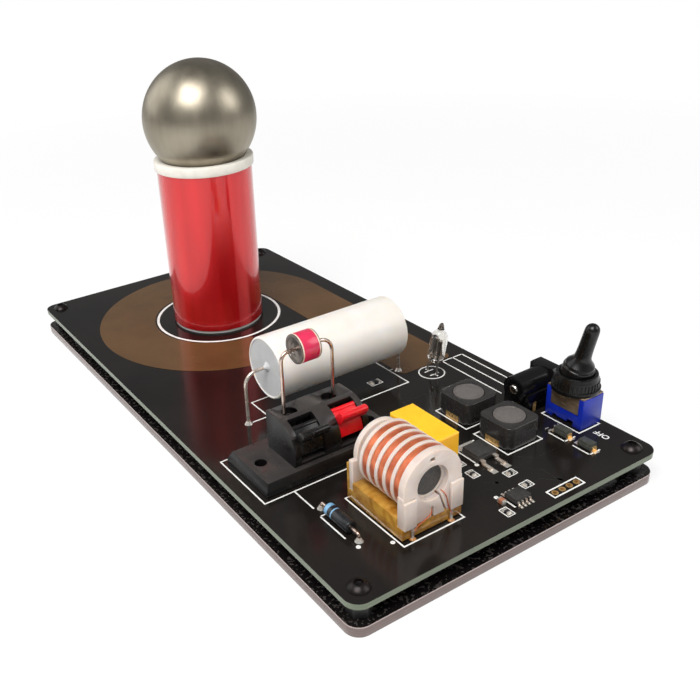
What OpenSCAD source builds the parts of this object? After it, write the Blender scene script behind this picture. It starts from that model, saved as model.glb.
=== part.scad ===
// Desktop resonant transformer: an upright secondary coil with a metal ball on a circuit board that
// carries its tank capacitor, spark gap, ignition transformer and low-voltage supply, on a clear plate.
// Millimetres. X runs along the board from the coil end to the switch end, Y from the front edge to
// the edge with the power jack, Z up from the underside of the base plate. The origin is the middle
// of that underside. A component's place is measured from the board's front left corner, and its
// heights from the board's upper face.

/* [Base plate and board] */
// Length of the board and of the plate under it
board_l = 200; // [198:0.5:206]
// Width of the board and of the plate under it
board_w = 100; // [100:0.5:104]
// Corner radius of both
corner_r = 4; // [2:0.5:6]
// Thickness of the clear base plate
plate_t = 3; // [3:0.5:5]
// Height of the standoffs between the plate and the board
standoff_h = 5; // [5:0.5:10]
// Thickness of the circuit board
board_t = 1.6; // [1.6:0.1:2]
// Distance of the corner screws from both edges
screw_inset = 5; // [4.5:0.5:6]
// Diameter of the corner screws
screw_d = 3; // [2.5:0.1:3]
// Width of a standoff over its flats
standoff_af = 5.5; // [5:0.1:6]

/* [Coil tower] */
// Centre of the tower
tower_at = [50, 50]; // [48:0.5:52]
// Outer diameter of the former that the coil is wound on
former_d = 31.6; // [30:0.1:32]
// Wall of the former
former_wall = 1.6; // [1.2:0.1:2]
// Thickness of the single layer of wire
winding_t = 0.4; // [0.2:0.05:0.6]
// Height of the lowest turn
winding_z0 = 1; // [0.5:0.1:3]
// Height of the highest turn
winding_z1 = 56.2; // [50:0.1:60]
// Height of the white collar above the highest turn
collar_h = 3.2; // [2:0.1:5]
// Diameter of the white collar
collar_d = 33.8; // [33:0.1:35]
// Diameter of the metal ball
ball_d = 38; // [36:0.1:40]
// Wall of the hollow ball
ball_wall = 0.8; // [0.5:0.1:1.5]
// Inner radius of the flat copper loop round the tower
loop_r0 = 23.4; // [22:0.1:25]
// Outer radius of the flat copper loop
loop_r1 = 43.6; // [42:0.1:45]
// How far the loop's straight arm reaches past the tower's centre
loop_arm = 77.2; // [70:0.1:80]
// Thickness of the copper
copper_t = 0.1; // [0.07:0.01:0.2]

/* [Tank capacitor] */
// Middle of the capacitor
tank_at = [122.4, 49.3]; // [40:0.1:130]
// Height of its axis
tank_z = 16; // [14:0.1:18]
// Diameter of its body
tank_d = 18.8; // [18:0.1:20]
// Length of its body
tank_l = 44.8; // [40:0.1:46]
// Thickness of its white wrap
tank_wrap = 0.7; // [0.4:0.1:1]
// Diameter of its leads
tank_lead_d = 1; // [0.8:0.1:1.2]

/* [Spark gap and its terminal block] */
// Middle of the terminal block
block_at = [146.05, 27.75]; // [20:0.05:150]
// Size of its flange along X, Y and Z
flange_size = [20.5, 44.6, 3.6]; // [3:0.1:46]
// Distance between the two holes in the flange
flange_holes = 35.6; // [34:0.1:37]
// Diameter of those holes
flange_hole_d = 3.4; // [3:0.1:3.6]
// Width of the raised housing along Y
housing_w = 23.9; // [23:0.1:26]
// Height of the housing's flat top
housing_h = 14.8; // [14.5:0.1:15.5]
// Radius of the housing's curved front, and of its levers' path
housing_r = 8; // [7.8:0.1:8.2]
// Distance between the two levers
lever_pitch = 12.7; // [12.5:0.1:13]
// Width of a lever inside its window
lever_w = 7.2; // [7:0.1:7.6]
// Width of a lever's finger lip outside the window
lip_w = 8.2; // [7.8:0.1:8.6]
// How far the black lever sits down at rest
black_rest = 5; // [0:1:6]
// Diameter of the wire holes in the housing's top
wire_hole_d = 4.4; // [4.3:0.1:4.6]
// Height of the spark gap tube's axis
gap_z = 31.4; // [28:0.1:34]
// Diameter of the tube
gap_d = 8.2; // [8:0.1:9]
// Length of the tube over its caps
gap_l = 6; // [5.6:0.1:6.6]
// How far the tube sits nearer to its front lead than to its rear one
gap_shift = 0.8; // [0:0.1:1]
// Distance between the tube's two upright leads
gap_span = 15.9; // [15.4:0.1:16]
// Diameter of its leads
gap_lead_d = 1; // [0.8:0.1:1.1]

/* [Ignition transformer] */
// Middle of the transformer
coil_at = [178.95, 31]; // [25:0.05:180]
// Length over its flanges along X
coil_l = 20.5; // [20:0.1:21]
// Width over the feet of its flanges
coil_w = 17.8; // [17:0.1:18.5]
// Height of the bobbin's axis
coil_z = 13; // [12.5:0.1:13.5]
// Radius of the round tops of its flanges
coil_r = 8.7; // [8.5:0.05:8.8]
// Number of wound sections
coil_sections = 5; // [5:1:5]
// Width of one wound section
section_w = 2; // [1.8:0.05:2.05]
// Thickness of the wall between two sections
divider_t = 0.95; // [0.8:0.05:1]
// Diameter of the ferrite core
core_d = 8.2; // [7.5:0.1:8.4]
// Height of the amber resin along its sides
resin_h = 5.8; // [5:0.1:6]

/* [Supply components] */
// Middle of the yellow box capacitor
box_at = [169.4, 45.2]; // [44:0.1:172]
// Its size
box_size = [18, 8, 14.5]; // [7:0.1:19]
// Middle of each shielded inductor
inductors_at = [[156, 73.5], [171.7, 73.5]]; // [70:0.1:175]
// Side of an inductor
inductor_w = 12; // [11:0.1:12.4]
// Height of an inductor
inductor_h = 7; // [6:0.1:8]
// Place of the neon lamp's pads, and of its foot
neon_pads = [[129.6, 81.5], [133.8, 81.5]]; // [80:0.1:135]
// Place of the neon lamp's foot
neon_at = [133, 81.4]; // [80:0.1:135]
// Lean of the neon lamp towards the switch end
neon_lean = 11; // [0:1:15]
// Diameter of the neon lamp
neon_d = 5.3; // [5:0.1:6]
// Middle of the power jack's width, and its front face
jack_at = [162.2, 99.4]; // [99:0.1:163]
// Width, length and height of the jack
jack_size = [9, 14.4, 10.8]; // [8:0.1:15]
// Height of the jack's axis
jack_z = 6.4; // [6:0.1:6.8]
// Diameter of the jack's mouth
jack_bore_d = 6.4; // [6:0.1:6.6]
// Diameter of the jack's centre pin
jack_pin_d = 2.1; // [2:0.1:2.5]

/* [Toggle switch] */
// Middle of the switch
switch_at = [175.2, 95]; // [94:0.1:176]
// Size of its blue body
switch_size = [12.7, 7.9, 9.6]; // [7.5:0.1:13]
// Lean of the lever from upright at each end of its throw
throw = 13.5; // [12:0.5:15]
// Height of the lever's pivot
pivot_h = 14.3; // [14:0.1:15]
// Length of the booted lever above its pivot
boot_l = 16.3; // [14:0.1:18]
// Diameter of the ribbed rubber nut
nut_d = 12.6; // [12:0.1:13]

/* [Small board parts] */
// Middle of the power transistor
transistor_at = [173.5, 61.1]; // [60:0.1:174]
// Middle of the eight-legged driver chip
chip_at = [192.8, 55.4]; // [55:0.1:193]
// Middle of each surface diode
diodes_at = [[179.9, 85.8], [187.9, 86]]; // [85:0.1:188]
// Middle of the high-voltage diode
hv_diode_at = [175.1, 14.3]; // [14:0.1:176]
// Distance between its pads
hv_diode_span = 15.4; // [15:0.1:16]
// Places of the resistors that lie along X
resistors_x = [[178.9, 53.7], [173.3, 54.2], [176.2, 84.4], [195.2, 49.4]]; // [49:0.1:196]
// Places of the resistors that lie along Y
resistors_y = [[184.2, 61.6], [190.1, 61.3], [176.4, 87.7]]; // [61:0.1:191]
// Place of the large resistor beside the tank capacitor
large_resistor_at = [125.7, 63.6]; // [63:0.1:126]
// Place of the tan chip capacitor
tan_capacitor_at = [191.9, 50.9]; // [50:0.1:193]
// Place of the first hole of the unused four-way header
header_at = [196.7, 64.2]; // [64:0.1:197]

/* [Hidden] */
$fn = 48;
eps = 0.01;
board_z = plate_t + standoff_h;
top_z = board_z + board_t;
screw_r = screw_d / 2;
screw_gap = 0.1;
tail = 1.6;
screw_x = board_l / 2 - screw_inset;
screw_y = board_w / 2 - screw_inset;
corners = [for (x = [-1, 1], y = [-1, 1]) [x * screw_x, y * screw_y]];

// Screws
button_r = 2.85;
button_h = 1.65;
button_cap_r = (pow(button_r, 2) + pow(button_h, 2)) / (2 * button_h);
socket_af = 2;
socket_depth = 1;
flat_head_r = 2.8;
flat_head_h = 1.7;

// Tower
former_r = former_d / 2;
former_bore = former_r - former_wall;
collar_z = winding_z1;
collar_top = collar_z + collar_h;
collar_bore = former_bore - 0.2;
ball_r = ball_d / 2;
ball_z = collar_top + sqrt(pow(ball_r, 2) - pow(collar_bore + 0.15, 2));
spigot_h = 4;

// Tank capacitor
tank_r = tank_d / 2;
tank_rear_dx = 1.7;
tank_pads = [[tank_at.x, tank_at.y - 29.3], [tank_at.x + tank_rear_dx, tank_at.y + 24.9]];
tank_lead_z = tank_z + 0.3;
tank_bends = [4, 1.6];
tank_recess = 0.3;

// Terminal block and spark gap. The pivot is the centre of the curved front.
wall_t = 1.2;
pivot_x = 0.15;
pivot_z = housing_h - housing_r;
back_x = -5.65;
window_x = 1.8;
roof_t = 1.5;
sill_z = flange_size.z + 1;
chamber_w = lever_w + 0.4;
trunnion_r = 0.85;
wire_x = -2.85;
gap_x = block_at.x + wire_x;
gap_lead_z0 = 7;

// Ignition transformer
flange_t = 2;
far_flange_t = 1.5;
far_flange_r = coil_r - 1.2;
pad_t = 0.7;
pad_w = 3.6;
pad_top = 11;
tube_r = 5.2;
wound_r = coil_r - 0.25;
wound_l = coil_sections * section_w + (coil_sections - 1) * divider_t;
wound_x0 = coil_l / 2 - flange_t - wound_l;
foot_z = 3.4;
shoulder_z = 12;
coil_pins_y = [-6.2, 5.7];

// Supply components
gap_cap_t = 0.8;
inductor_pads = 0.35;
neon_z = 5;
neon_r = neon_d / 2;
neon_l = 11;
hv_r = 1.65;
hv_l = 9.4;
hv_z = hv_r + 0.35;

// Switch
bushing_r = 2.95;
bushing_bore = 2.05;
pivot_ball_r = 1.95;
pivot_pin_r = 0.5;

// Chip parts: length, width and height, and the length of a metal end
chip_size = [1.6, 1.25, 0.5];
large_size = [2.4, 1.6, 0.6];
tan_size = [2, 1.25, 1.2];
chip_end = 0.4;

// Pins that pass through the board: place and radius
pin_r = 0.4;
pin_dx = 0.3;
coil_pins_at = [for (x = [-1, 1], y = coil_pins_y) [coil_at.x + x * (coil_l / 2 + pin_dx), coil_at.y + y]];
box_pins_at = [for (x = [-7.5, 7.5]) [box_at.x + x, box_at.y]];
hv_pads = [for (x = [-0.5, 0.5]) [hv_diode_at.x + x * hv_diode_span, hv_diode_at.y]];
switch_pins_at = [for (x = [-4.7, 0, 4.7]) [switch_at.x + x, switch_at.y]];
jack_pins_at = [for (p = [[0, 13.4], [0, 7.6], [4, 10.4]]) [jack_at.x + p.x, jack_at.y - p.y]];
spring_pins_at = [for (y = [-0.5, 0.5]) [block_at.x - 3.6, block_at.y + y * lever_pitch]];
header_pitch = 2.54;
header_holes_at = [for (i = [0:3]) [header_at.x, header_at.y + i * header_pitch]];
switch_pin_r = 0.6;
jack_pin_r = 0.6;
header_r = 0.62;
neon_lead_r = 0.3;
through_pins = concat(
    [for (p = coil_pins_at) [p, pin_r]],
    [for (p = box_pins_at) [p, pin_r]],
    [for (p = tank_pads) [p, tank_lead_d / 2]],
    [for (p = hv_pads) [p, pin_r]],
    [for (p = neon_pads) [p, neon_lead_r]],
    [for (p = switch_pins_at) [p, switch_pin_r]],
    [for (p = jack_pins_at) [p, jack_pin_r]],
    [for (p = spring_pins_at) [p, pin_r]]
);
hole_gap = 0.1;

// Places children at a point of the board, with z = 0 on the board's upper face
module on_board(p) {
    translate([p.x - board_l / 2, p.y - board_w / 2, top_z]) children();
}

// Rectangle with round corners, about its middle
module round_rect(l, w, r) {
    square([l - 2 * r, w], center = true);
    square([l, w - 2 * r], center = true);
    for (x = [-1, 1], y = [-1, 1])
        translate([x * (l / 2 - r), y * (w / 2 - r)]) circle(r);
}

// Round bar from one point to another
module bar(a, b, r) {
    d = b - a;
    l = norm(d);
    translate(a) rotate([0, acos(d.z / l), atan2(d.y, d.x)]) cylinder(r = r, h = l);
}

// Quarter bend of a lead in the YZ plane: from +Y travel at its start to -Z travel at its end
module bend(r, lead_r) {
    translate([0, 0, -r]) rotate([90, 0, 90]) rotate_extrude(angle = 90) translate([r, 0]) circle(lead_r);
}

// Upright pin through the board, from z1 above it down to its tail below it
module through_pin(p, r, z1) {
    on_board(p) translate([0, 0, -board_t - tail]) cylinder(r = r, h = z1 + board_t + tail);
}

// Box about its middle in X and Y, standing on z0
module slab(size, z0 = 0) {
    translate([-size.x / 2, -size.y / 2, z0]) cube(size);
}

// ---- Base plate, board and fasteners ----

module base_plate() {
    color([0.16, 0.14, 0.13])
    difference() {
        linear_extrude(plate_t) round_rect(board_l, board_w, corner_r);
        for (c = corners) translate([c.x, c.y, 0]) {
            translate([0, 0, -eps]) cylinder(r = screw_r + screw_gap, h = plate_t + 1);
            translate([0, 0, -eps]) cylinder(r1 = flat_head_r + 0.1, r2 = screw_r, h = flat_head_h);
        }
    }
}

module base_screws() {
    color([0.2, 0.2, 0.21])
    for (c = corners) translate([c.x, c.y, 0])
        difference() {
            union() {
                cylinder(r1 = flat_head_r, r2 = screw_r - eps, h = flat_head_h);
                translate([0, 0, 1]) cylinder(r = screw_r - eps, h = plate_t + 1.2);
            }
            translate([0, 0, -eps]) cylinder(d = socket_af / cos(30), h = socket_depth, $fn = 6);
        }
}

module standoffs() {
    color([0.08, 0.08, 0.08])
    for (c = corners) translate([c.x, c.y, plate_t])
        difference() {
            cylinder(d = standoff_af / cos(30), h = standoff_h, $fn = 6);
            translate([0, 0, -1]) cylinder(r = screw_r, h = standoff_h + 2);
        }
}

module board_screws() {
    color([0.08, 0.08, 0.09])
    for (c = corners) translate([c.x, c.y, top_z])
        difference() {
            union() {
                intersection() {
                    translate([0, 0, button_h - button_cap_r]) sphere(button_cap_r);
                    cylinder(r = button_r, h = button_h + 1);
                }
                translate([0, 0, -board_t - 2.2]) cylinder(r = screw_r - eps, h = board_t + 2.6);
            }
            translate([0, 0, button_h - socket_depth])
                cylinder(d = socket_af / cos(30), h = socket_depth + 1, $fn = 6);
        }
}

module circuit_board() {
    color([0.06, 0.06, 0.06])
    difference() {
        translate([0, 0, board_z]) linear_extrude(board_t) round_rect(board_l, board_w, corner_r);
        for (c = corners) translate([c.x, c.y, board_z - 1]) cylinder(r = screw_r + screw_gap, h = board_t + 2);
        for (p = through_pins) on_board(p[0])
            translate([0, 0, -board_t - 1]) cylinder(r = p[1] + hole_gap, h = board_t + 2);
        for (p = header_holes_at) on_board(p)
            translate([0, 0, -board_t - 1]) cylinder(r = header_r, h = board_t + 2);
    }
}

// A flat turn of copper, open in the quarter that faces the parts, with a straight arm to the capacitor
module primary_loop() {
    band = loop_r1 - loop_r0;
    color([0.43, 0.32, 0.23])
    difference() {
        on_board(tower_at) linear_extrude(copper_t) {
            difference() {
                circle(loop_r1, $fn = 96);
                circle(loop_r0, $fn = 96);
                square(loop_r1 + 1);
            }
            translate([0, loop_r0]) square([loop_arm - band / 2, band]);
            translate([loop_arm - band / 2, loop_r0 + band / 2]) round_rect(band, band, 2);
        }
        for (p = [tank_pads[1], neon_pads[0]]) on_board(p) translate([0, 0, -1]) cylinder(r = 1.3, h = 2);
    }
}

// ---- Coil tower ----

module coil_former() {
    color([0.85, 0.85, 0.84])
    on_board(tower_at) difference() {
        cylinder(r = former_r, h = collar_z);
        translate([0, 0, -1]) cylinder(r = former_bore, h = collar_z + 2);
    }
}

module secondary_winding() {
    color([0.78, 0.06, 0.07])
    on_board(tower_at) translate([0, 0, winding_z0]) difference() {
        cylinder(r = former_r + winding_t, h = winding_z1 - winding_z0);
        translate([0, 0, -1]) cylinder(r = former_r, h = winding_z1 + 1);
    }
}

// Collar with a spigot inside the former and a round seat for the ball
module top_collar() {
    color([0.93, 0.92, 0.88])
    on_board(tower_at) difference() {
        union() {
            translate([0, 0, collar_z]) cylinder(d = collar_d, h = collar_h);
            translate([0, 0, collar_z - spigot_h]) cylinder(r = former_bore - 0.1, h = spigot_h + eps);
        }
        translate([0, 0, collar_z - spigot_h - 1]) cylinder(r = collar_bore - 1.6, h = spigot_h + collar_h + 2);
        translate([0, 0, ball_z]) sphere(ball_r + 0.02, $fn = 96);
    }
}

// Hollow ball with a small hole underneath for the end of the winding
module discharge_ball() {
    color([0.62, 0.59, 0.55])
    on_board(tower_at) translate([0, 0, ball_z]) difference() {
        sphere(ball_r, $fn = 96);
        sphere(ball_r - ball_wall, $fn = 96);
        translate([0, 0, -ball_r - 1]) cylinder(r = 1.5, h = ball_r);
    }
}

// ---- Tank capacitor ----

module along_tank() {
    on_board(tank_at) translate([0, tank_l / 2, tank_z]) rotate([90, 0, 0]) children();
}

// Wrap with a rolled edge at both ends
module tank_capacitor_wrap() {
    roll = tank_wrap / 2;
    color([0.95, 0.94, 0.91])
    along_tank() rotate_extrude($fn = 72) {
        translate([tank_r - tank_wrap, roll]) square([tank_wrap, tank_l - 2 * roll]);
        for (y = [roll, tank_l - roll]) translate([tank_r - roll, y]) circle(roll, $fn = 24);
    }
}

// End fill, sunk a little and slightly hollow, round the two leads
module tank_capacitor_core() {
    l = tank_l - 2 * tank_recess;
    dish = 0.3;
    color([0.86, 0.86, 0.85])
    on_board(tank_at) translate([0, 0, tank_z]) rotate([90, 0, 0]) difference() {
        cylinder(r = tank_r - tank_wrap, h = l, center = true, $fn = 72);
        for (s = [0, 1]) mirror([0, 0, s]) translate([0, 0, l / 2 - dish])
            cylinder(r1 = 1.6, r2 = tank_r - tank_wrap - 0.3, h = dish + eps, $fn = 72);
        for (s = [-1, 1]) translate([s < 0 ? tank_rear_dx : 0, tank_lead_z - tank_z, s * (l / 2 - 0.5)])
            cylinder(d = tank_lead_d, h = 2.4, center = true);
    }
}

// Both leads leave the ends level and turn down into the board
module tank_capacitor_leads() {
    r = tank_lead_d / 2;
    inner = tank_l / 2 - tank_recess - 1.6;
    color([0.72, 0.68, 0.62])
    for (i = [0, 1]) {
        bend_r = tank_bends[i];
        reach = abs(tank_pads[i].y - tank_at.y);
        translate([tank_pads[i].x - board_l / 2, tank_at.y - board_w / 2, top_z + tank_lead_z])
            mirror([0, 1 - i, 0]) {
                translate([0, inner, 0]) rotate([-90, 0, 0]) cylinder(r = r, h = reach - inner - bend_r);
                translate([0, reach - bend_r, 0]) bend(bend_r, r);
            }
        through_pin(tank_pads[i], r, tank_lead_z - bend_r);
    }
}

// ---- Spring terminal block ----

// Side view of the flange with a bevelled upper edge, for a width w
module flange_profile(w) {
    edge = 1.2;
    bevel = 1.1;
    polygon([
        [-w / 2, 0], [w / 2, 0], [w / 2, edge], [w / 2 - bevel, flange_size.z],
        [-w / 2 + bevel, flange_size.z], [-w / 2, edge]
    ]);
}

// Side view of the housing: an upright back, a flat top and a curved front
module housing_profile() {
    translate([back_x, 1]) square([pivot_x - back_x, housing_h - 1]);
    intersection() {
        translate([pivot_x, pivot_z]) circle(housing_r, $fn = 96);
        translate([back_x, 1]) square([20, housing_h]);
    }
    translate([pivot_x, 1]) square([housing_r - 0.9, pivot_z - 3]);
}

// Side view of a lever's chamber with its window in the curved front
module chamber_profile() {
    polygon([
        [back_x + wall_t, sill_z], [20, sill_z], [20, housing_h + 2], [window_x, housing_h + 2],
        [window_x, housing_h - roof_t], [back_x + wall_t, housing_h - roof_t]
    ]);
}

// Extrudes a side view, drawn in X and Z, over a width w along Y
module side_extrude(w) {
    translate([0, w / 2, 0]) rotate([90, 0, 0]) linear_extrude(w) children();
}

module terminal_block() {
    color([0.11, 0.11, 0.12])
    on_board(block_at) difference() {
        union() {
            intersection() {
                side_extrude(flange_size.y) flange_profile(flange_size.x);
                rotate([0, 0, 90]) side_extrude(flange_size.x) flange_profile(flange_size.y);
            }
            side_extrude(housing_w) housing_profile();
        }
        for (y = [-0.5, 0.5]) translate([0, y * flange_holes, -1]) cylinder(d = flange_hole_d, h = 10);
        for (y = [-0.5, 0.5]) translate([0, y * lever_pitch, 0]) {
            side_extrude(chamber_w) chamber_profile();
            translate([pivot_x, 0, pivot_z]) rotate([90, 0, 0])
                cylinder(r = trunnion_r + 0.08, h = chamber_w + 1.8, center = true);
            wire_entry();
            translate([-3.6, 0, -1]) cylinder(r = pin_r + hole_gap, h = 8);
        }
    }
}

// Wire hole at the bottom of a four-sided dish that guides the wire in
module wire_entry() {
    dish = 1.1;
    half = wire_hole_d / 2 + 0.05;
    translate([wire_x, 0, housing_h - 3]) cylinder(d = wire_hole_d, h = 5);
    translate([wire_x, 0, housing_h - dish]) intersection() {
        side_extrude(12) polygon([[-half, 0], [half, 0], [half + 1.2, 2 * dish], [-half - 1.2, 2 * dish]]);
        rotate([0, 0, 90]) side_extrude(12)
            polygon([[-half, 0], [half, 0], [half + 4.2, 2 * dish], [-half - 4.2, 2 * dish]]);
    }
}

// Sprung contact strip in each chamber, bent from flat steel, with a pin through the board
module terminal_springs() {
    strip = 0.4;
    w = 5;
    color([0.75, 0.74, 0.72])
    for (y = [-0.5, 0.5]) {
        on_board([block_at.x, block_at.y + y * lever_pitch]) {
            translate([back_x + wall_t, -w / 2, sill_z]) cube([2.4, w, strip]);
            translate([back_x + wall_t, -w / 2, sill_z]) cube([strip, w, 7]);
        }
        through_pin([block_at.x - 3.6, block_at.y + y * lever_pitch], pin_r, sill_z + strip / 2);
    }
}

// Side view of a lever's curved wall about its pivot, with the bar along its back edge
module lever_wall() {
    outer = housing_r - 0.35;
    difference() {
        circle(outer, $fn = 96);
        circle(outer - 1.3, $fn = 96);
        rotate(64) translate([-20, 0]) square([40, 20]);
        rotate(4) translate([-20, -20]) square([40, 20]);
        translate([-20, -20]) square([20, 40]);
    }
    rotate(62) translate([outer - 0.35, 0]) circle(0.7, $fn = 24);
}

// Side view of its finger lip, thick at the tip and hollowed towards the back bar
module lever_lip() {
    polygon([[5, 5.2], [6.2, 4.1], [6.7, 4.4], [8.2, 5.2], [9.4, 7.1], [8.6, 8.3], [7.7, 8.2], [5.8, 6.2]]);
    translate([8.55, 7.45]) circle(0.85, $fn = 24);
}

module lever() {
    side_extrude(lever_w) {
        lever_wall();
        lever_lip();
        circle(1.6, $fn = 24);
        rotate(12) translate([0, -0.6]) square([housing_r - 1.2, 1.2]);
    }
    side_extrude(lip_w) difference() {
        lever_lip();
        circle(housing_r + 0.4, $fn = 96);
    }
    rotate([90, 0, 0]) cylinder(r = trunnion_r, h = lever_w + 1.8, center = true);
}

// A lever in its chamber, side -1 or 1, turned down by some degrees
module placed_lever(side, down) {
    on_board([block_at.x, block_at.y + side * lever_pitch / 2])
        translate([pivot_x, 0, pivot_z]) rotate([0, down, 0]) lever();
}

module black_lever() {
    color([0.1, 0.1, 0.11]) placed_lever(-1, black_rest);
}

module red_lever() {
    color([0.85, 0.08, 0.1]) placed_lever(1, 0);
}

// ---- Spark gap ----

module along_gap() {
    on_board([gap_x, block_at.y - gap_shift]) translate([0, gap_l / 2, gap_z]) rotate([90, 0, 0]) children();
}

module spark_gap_tube() {
    color([0.88, 0.28, 0.4])
    along_gap() translate([0, 0, gap_cap_t]) cylinder(d = gap_d, h = gap_l - 2 * gap_cap_t);
}

// Two pressed steel caps with a raised rim round a stepped middle
module spark_gap_caps() {
    color([0.55, 0.53, 0.5])
    along_gap() for (s = [0, 1]) translate([0, 0, gap_l / 2]) mirror([0, 0, s]) translate([0, 0, -gap_l / 2])
        difference() {
            cylinder(d = gap_d - 0.1, h = gap_cap_t);
            translate([0, 0, -1]) cylinder(r = 3.2, h = 1.2);
            translate([0, 0, -1]) cylinder(r = 1.9, h = 1.4);
            translate([0, 0, -1]) cylinder(d = gap_lead_d, h = 3);
        }
}

module spark_gap_leads() {
    r = gap_lead_d / 2;
    reach = gap_span / 2;
    color([0.72, 0.64, 0.58])
    on_board([gap_x, block_at.y]) for (s = [0, 1]) mirror([0, s, 0]) {
        bend_r = s == 0 ? 3.6 : 2.4;
        inner = gap_l / 2 - gap_cap_t + (2 * s - 1) * gap_shift;
        translate([0, inner, gap_z]) rotate([-90, 0, 0]) cylinder(r = r, h = reach - inner - bend_r);
        translate([0, reach - bend_r, gap_z]) bend(bend_r, r);
        translate([0, reach, gap_lead_z0]) cylinder(r = r, h = gap_z - bend_r - gap_lead_z0);
    }
}

// ---- Ignition transformer ----

// Extrudes an end view, drawn in Y and Z, from x0 over a length l along X
module end_extrude(x0, l) {
    translate([x0, 0, 0]) rotate([90, 0, 90]) linear_extrude(l) children();
}

// End view of a flange: a round top of radius r on straight feet
module coil_flange(r) {
    translate([0, coil_z]) circle(r, $fn = 72);
    translate([-r, foot_z]) square([2 * r, coil_z - foot_z]);
    translate([-coil_w / 2, foot_z]) square([coil_w, shoulder_z - foot_z]);
}

module coil_bobbin() {
    end = coil_l / 2;
    color([0.88, 0.86, 0.82, 0.8])
    on_board(coil_at) difference() {
        union() {
            end_extrude(-end, coil_l) translate([0, coil_z]) circle(tube_r);
            end_extrude(-end, far_flange_t) coil_flange(far_flange_r);
            end_extrude(end - flange_t, flange_t) coil_flange(coil_r);
            // raised pads over the pins
            for (s = [0, 1]) mirror([0, s, 0]) end_extrude(end - eps, pad_t)
                translate([coil_w / 2 - pad_w, foot_z]) square([pad_w, pad_top - foot_z]);
            for (i = [0:coil_sections - 1])
                end_extrude(wound_x0 - divider_t + i * (section_w + divider_t), divider_t)
                    translate([0, coil_z]) circle(coil_r, $fn = 72);
        }
        end_extrude(-end - 1, coil_l + 2) translate([0, coil_z]) circle(d = core_d);
        end_extrude(end - 1.6, 3) translate([0, coil_z]) circle(4.7);
        // openings in the near flange: a window on the wire, and the channels of the two wire ends
        end_extrude(end - flange_t - 1, 4) {
            translate([-1, coil_z + 6.1]) square([1.5, 1]);
            translate([-0.4, foot_z - 1]) square([0.8, 4]);
            translate([4.2, foot_z - 1]) rotate(20) square([0.6, 7]);
        }
    }
}

module coil_windings() {
    color([0.78, 0.42, 0.28])
    on_board(coil_at) for (i = [0:coil_sections - 1])
        end_extrude(wound_x0 + i * (section_w + divider_t), section_w) translate([0, coil_z]) difference() {
            circle(wound_r, $fn = 72);
            circle(tube_r);
        }
}

module coil_core() {
    color([0.2, 0.2, 0.2])
    on_board(coil_at) end_extrude(-coil_l / 2 + 0.3, coil_l - 2.2) translate([0, coil_z]) circle(d = core_d);
}

// Cast resin that holds the lower part of the bobbin and rises at its far end
module coil_resin() {
    end = coil_l / 2;
    skin = 0.7;
    color([0.85, 0.6, 0.2, 0.85])
    on_board(coil_at) difference() {
        union() {
            slab([coil_l, coil_w + 0.4, resin_h - 0.4], 0.4);
            end_extrude(-end - skin, skin) translate([-coil_w / 2 - 0.2, 0.4]) square([coil_w + 0.4, 10.6]);
        }
        end_extrude(-end, coil_l + 1) translate([0, coil_z]) circle(coil_r, $fn = 72);
        for (x = [-end, end - flange_t])
            end_extrude(x, x < 0 ? far_flange_t : flange_t + 1)
                translate([-coil_w / 2 - 1, foot_z]) square([coil_w + 2, 10]);
        for (x = [-1, 1], y = coil_pins_y)
            translate([x * (end + pin_dx), y, -1]) cylinder(r = pin_r, h = foot_z + 1);
    }
}

module coil_pins() {
    color([0.85, 0.84, 0.8])
    for (p = coil_pins_at) through_pin(p, pin_r, foot_z);
}

// ---- Supply components ----

// Moulded box with all its edges rounded
module box_capacitor() {
    edge = 0.7;
    color([0.96, 0.72, 0.12])
    on_board(box_at) difference() {
        intersection() {
            linear_extrude(box_size.z) round_rect(box_size.x, box_size.y, edge);
            side_extrude(box_size.y) translate([0, box_size.z / 2]) round_rect(box_size.x, box_size.z, edge);
            end_extrude(-box_size.x / 2, box_size.x) translate([0, box_size.z / 2])
                round_rect(box_size.y, box_size.z, edge);
        }
        for (x = [-7.5, 7.5]) translate([x, 0, -1]) cylinder(r = pin_r, h = 3);
    }
}

module box_capacitor_pins() {
    color([0.8, 0.79, 0.76])
    for (p = box_pins_at) through_pin(p, pin_r, 2);
}

module inductor_shells() {
    corner = 2.2;
    color([0.25, 0.24, 0.23])
    for (p = inductors_at) on_board(p) difference() {
        translate([0, 0, inductor_pads]) linear_extrude(inductor_h - inductor_pads)
            round_rect(inductor_w, inductor_w, corner);
        translate([0, 0, inductor_h - 0.4]) cylinder(r = 4.5, h = 1);
        for (s = [-1, 1]) translate([0, s * inductor_w / 2, 0]) cube([5.2, 0.7, 4], center = true);
    }
}

module inductor_tops() {
    color([0.45, 0.43, 0.41])
    for (p = inductors_at) on_board(p) translate([0, 0, inductor_h - 0.4]) difference() {
        cylinder(r = 4.3, h = 0.5);
        translate([0, 0, 0.35]) difference() {
            cylinder(r = 3.9, h = 1);
            translate([0, 0, -1]) cylinder(r = 3.6, h = 3);
        }
    }
}

// Gold strips folded up both ends of each inductor from under it
module inductor_terminals() {
    w = 5;
    t = 0.3;
    color([0.85, 0.68, 0.35])
    for (p = inductors_at, s = [0, 1]) on_board(p) mirror([0, s, 0]) {
        translate([-w / 2, inductor_w / 2 - 3, 0]) cube([w, 3, inductor_pads]);
        translate([-w / 2, inductor_w / 2 - t, 0]) cube([w, t, 1.9]);
    }
}

// Places children with z along the leaning lamp from the foot of its glass
module along_neon() {
    on_board(neon_at) translate([0, 0, neon_z]) rotate([0, neon_lean, 0]) children();
}

// Outline of the lamp's glass at a radius smaller by a wall, from its pinched foot to its drawn tip
module neon_outline(wall) {
    r = neon_r - wall;
    translate([0, wall]) square([r, neon_l - neon_r - wall]);
    translate([0, neon_l - neon_r]) intersection() {
        circle(r);
        square(neon_r);
    }
}

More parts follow.
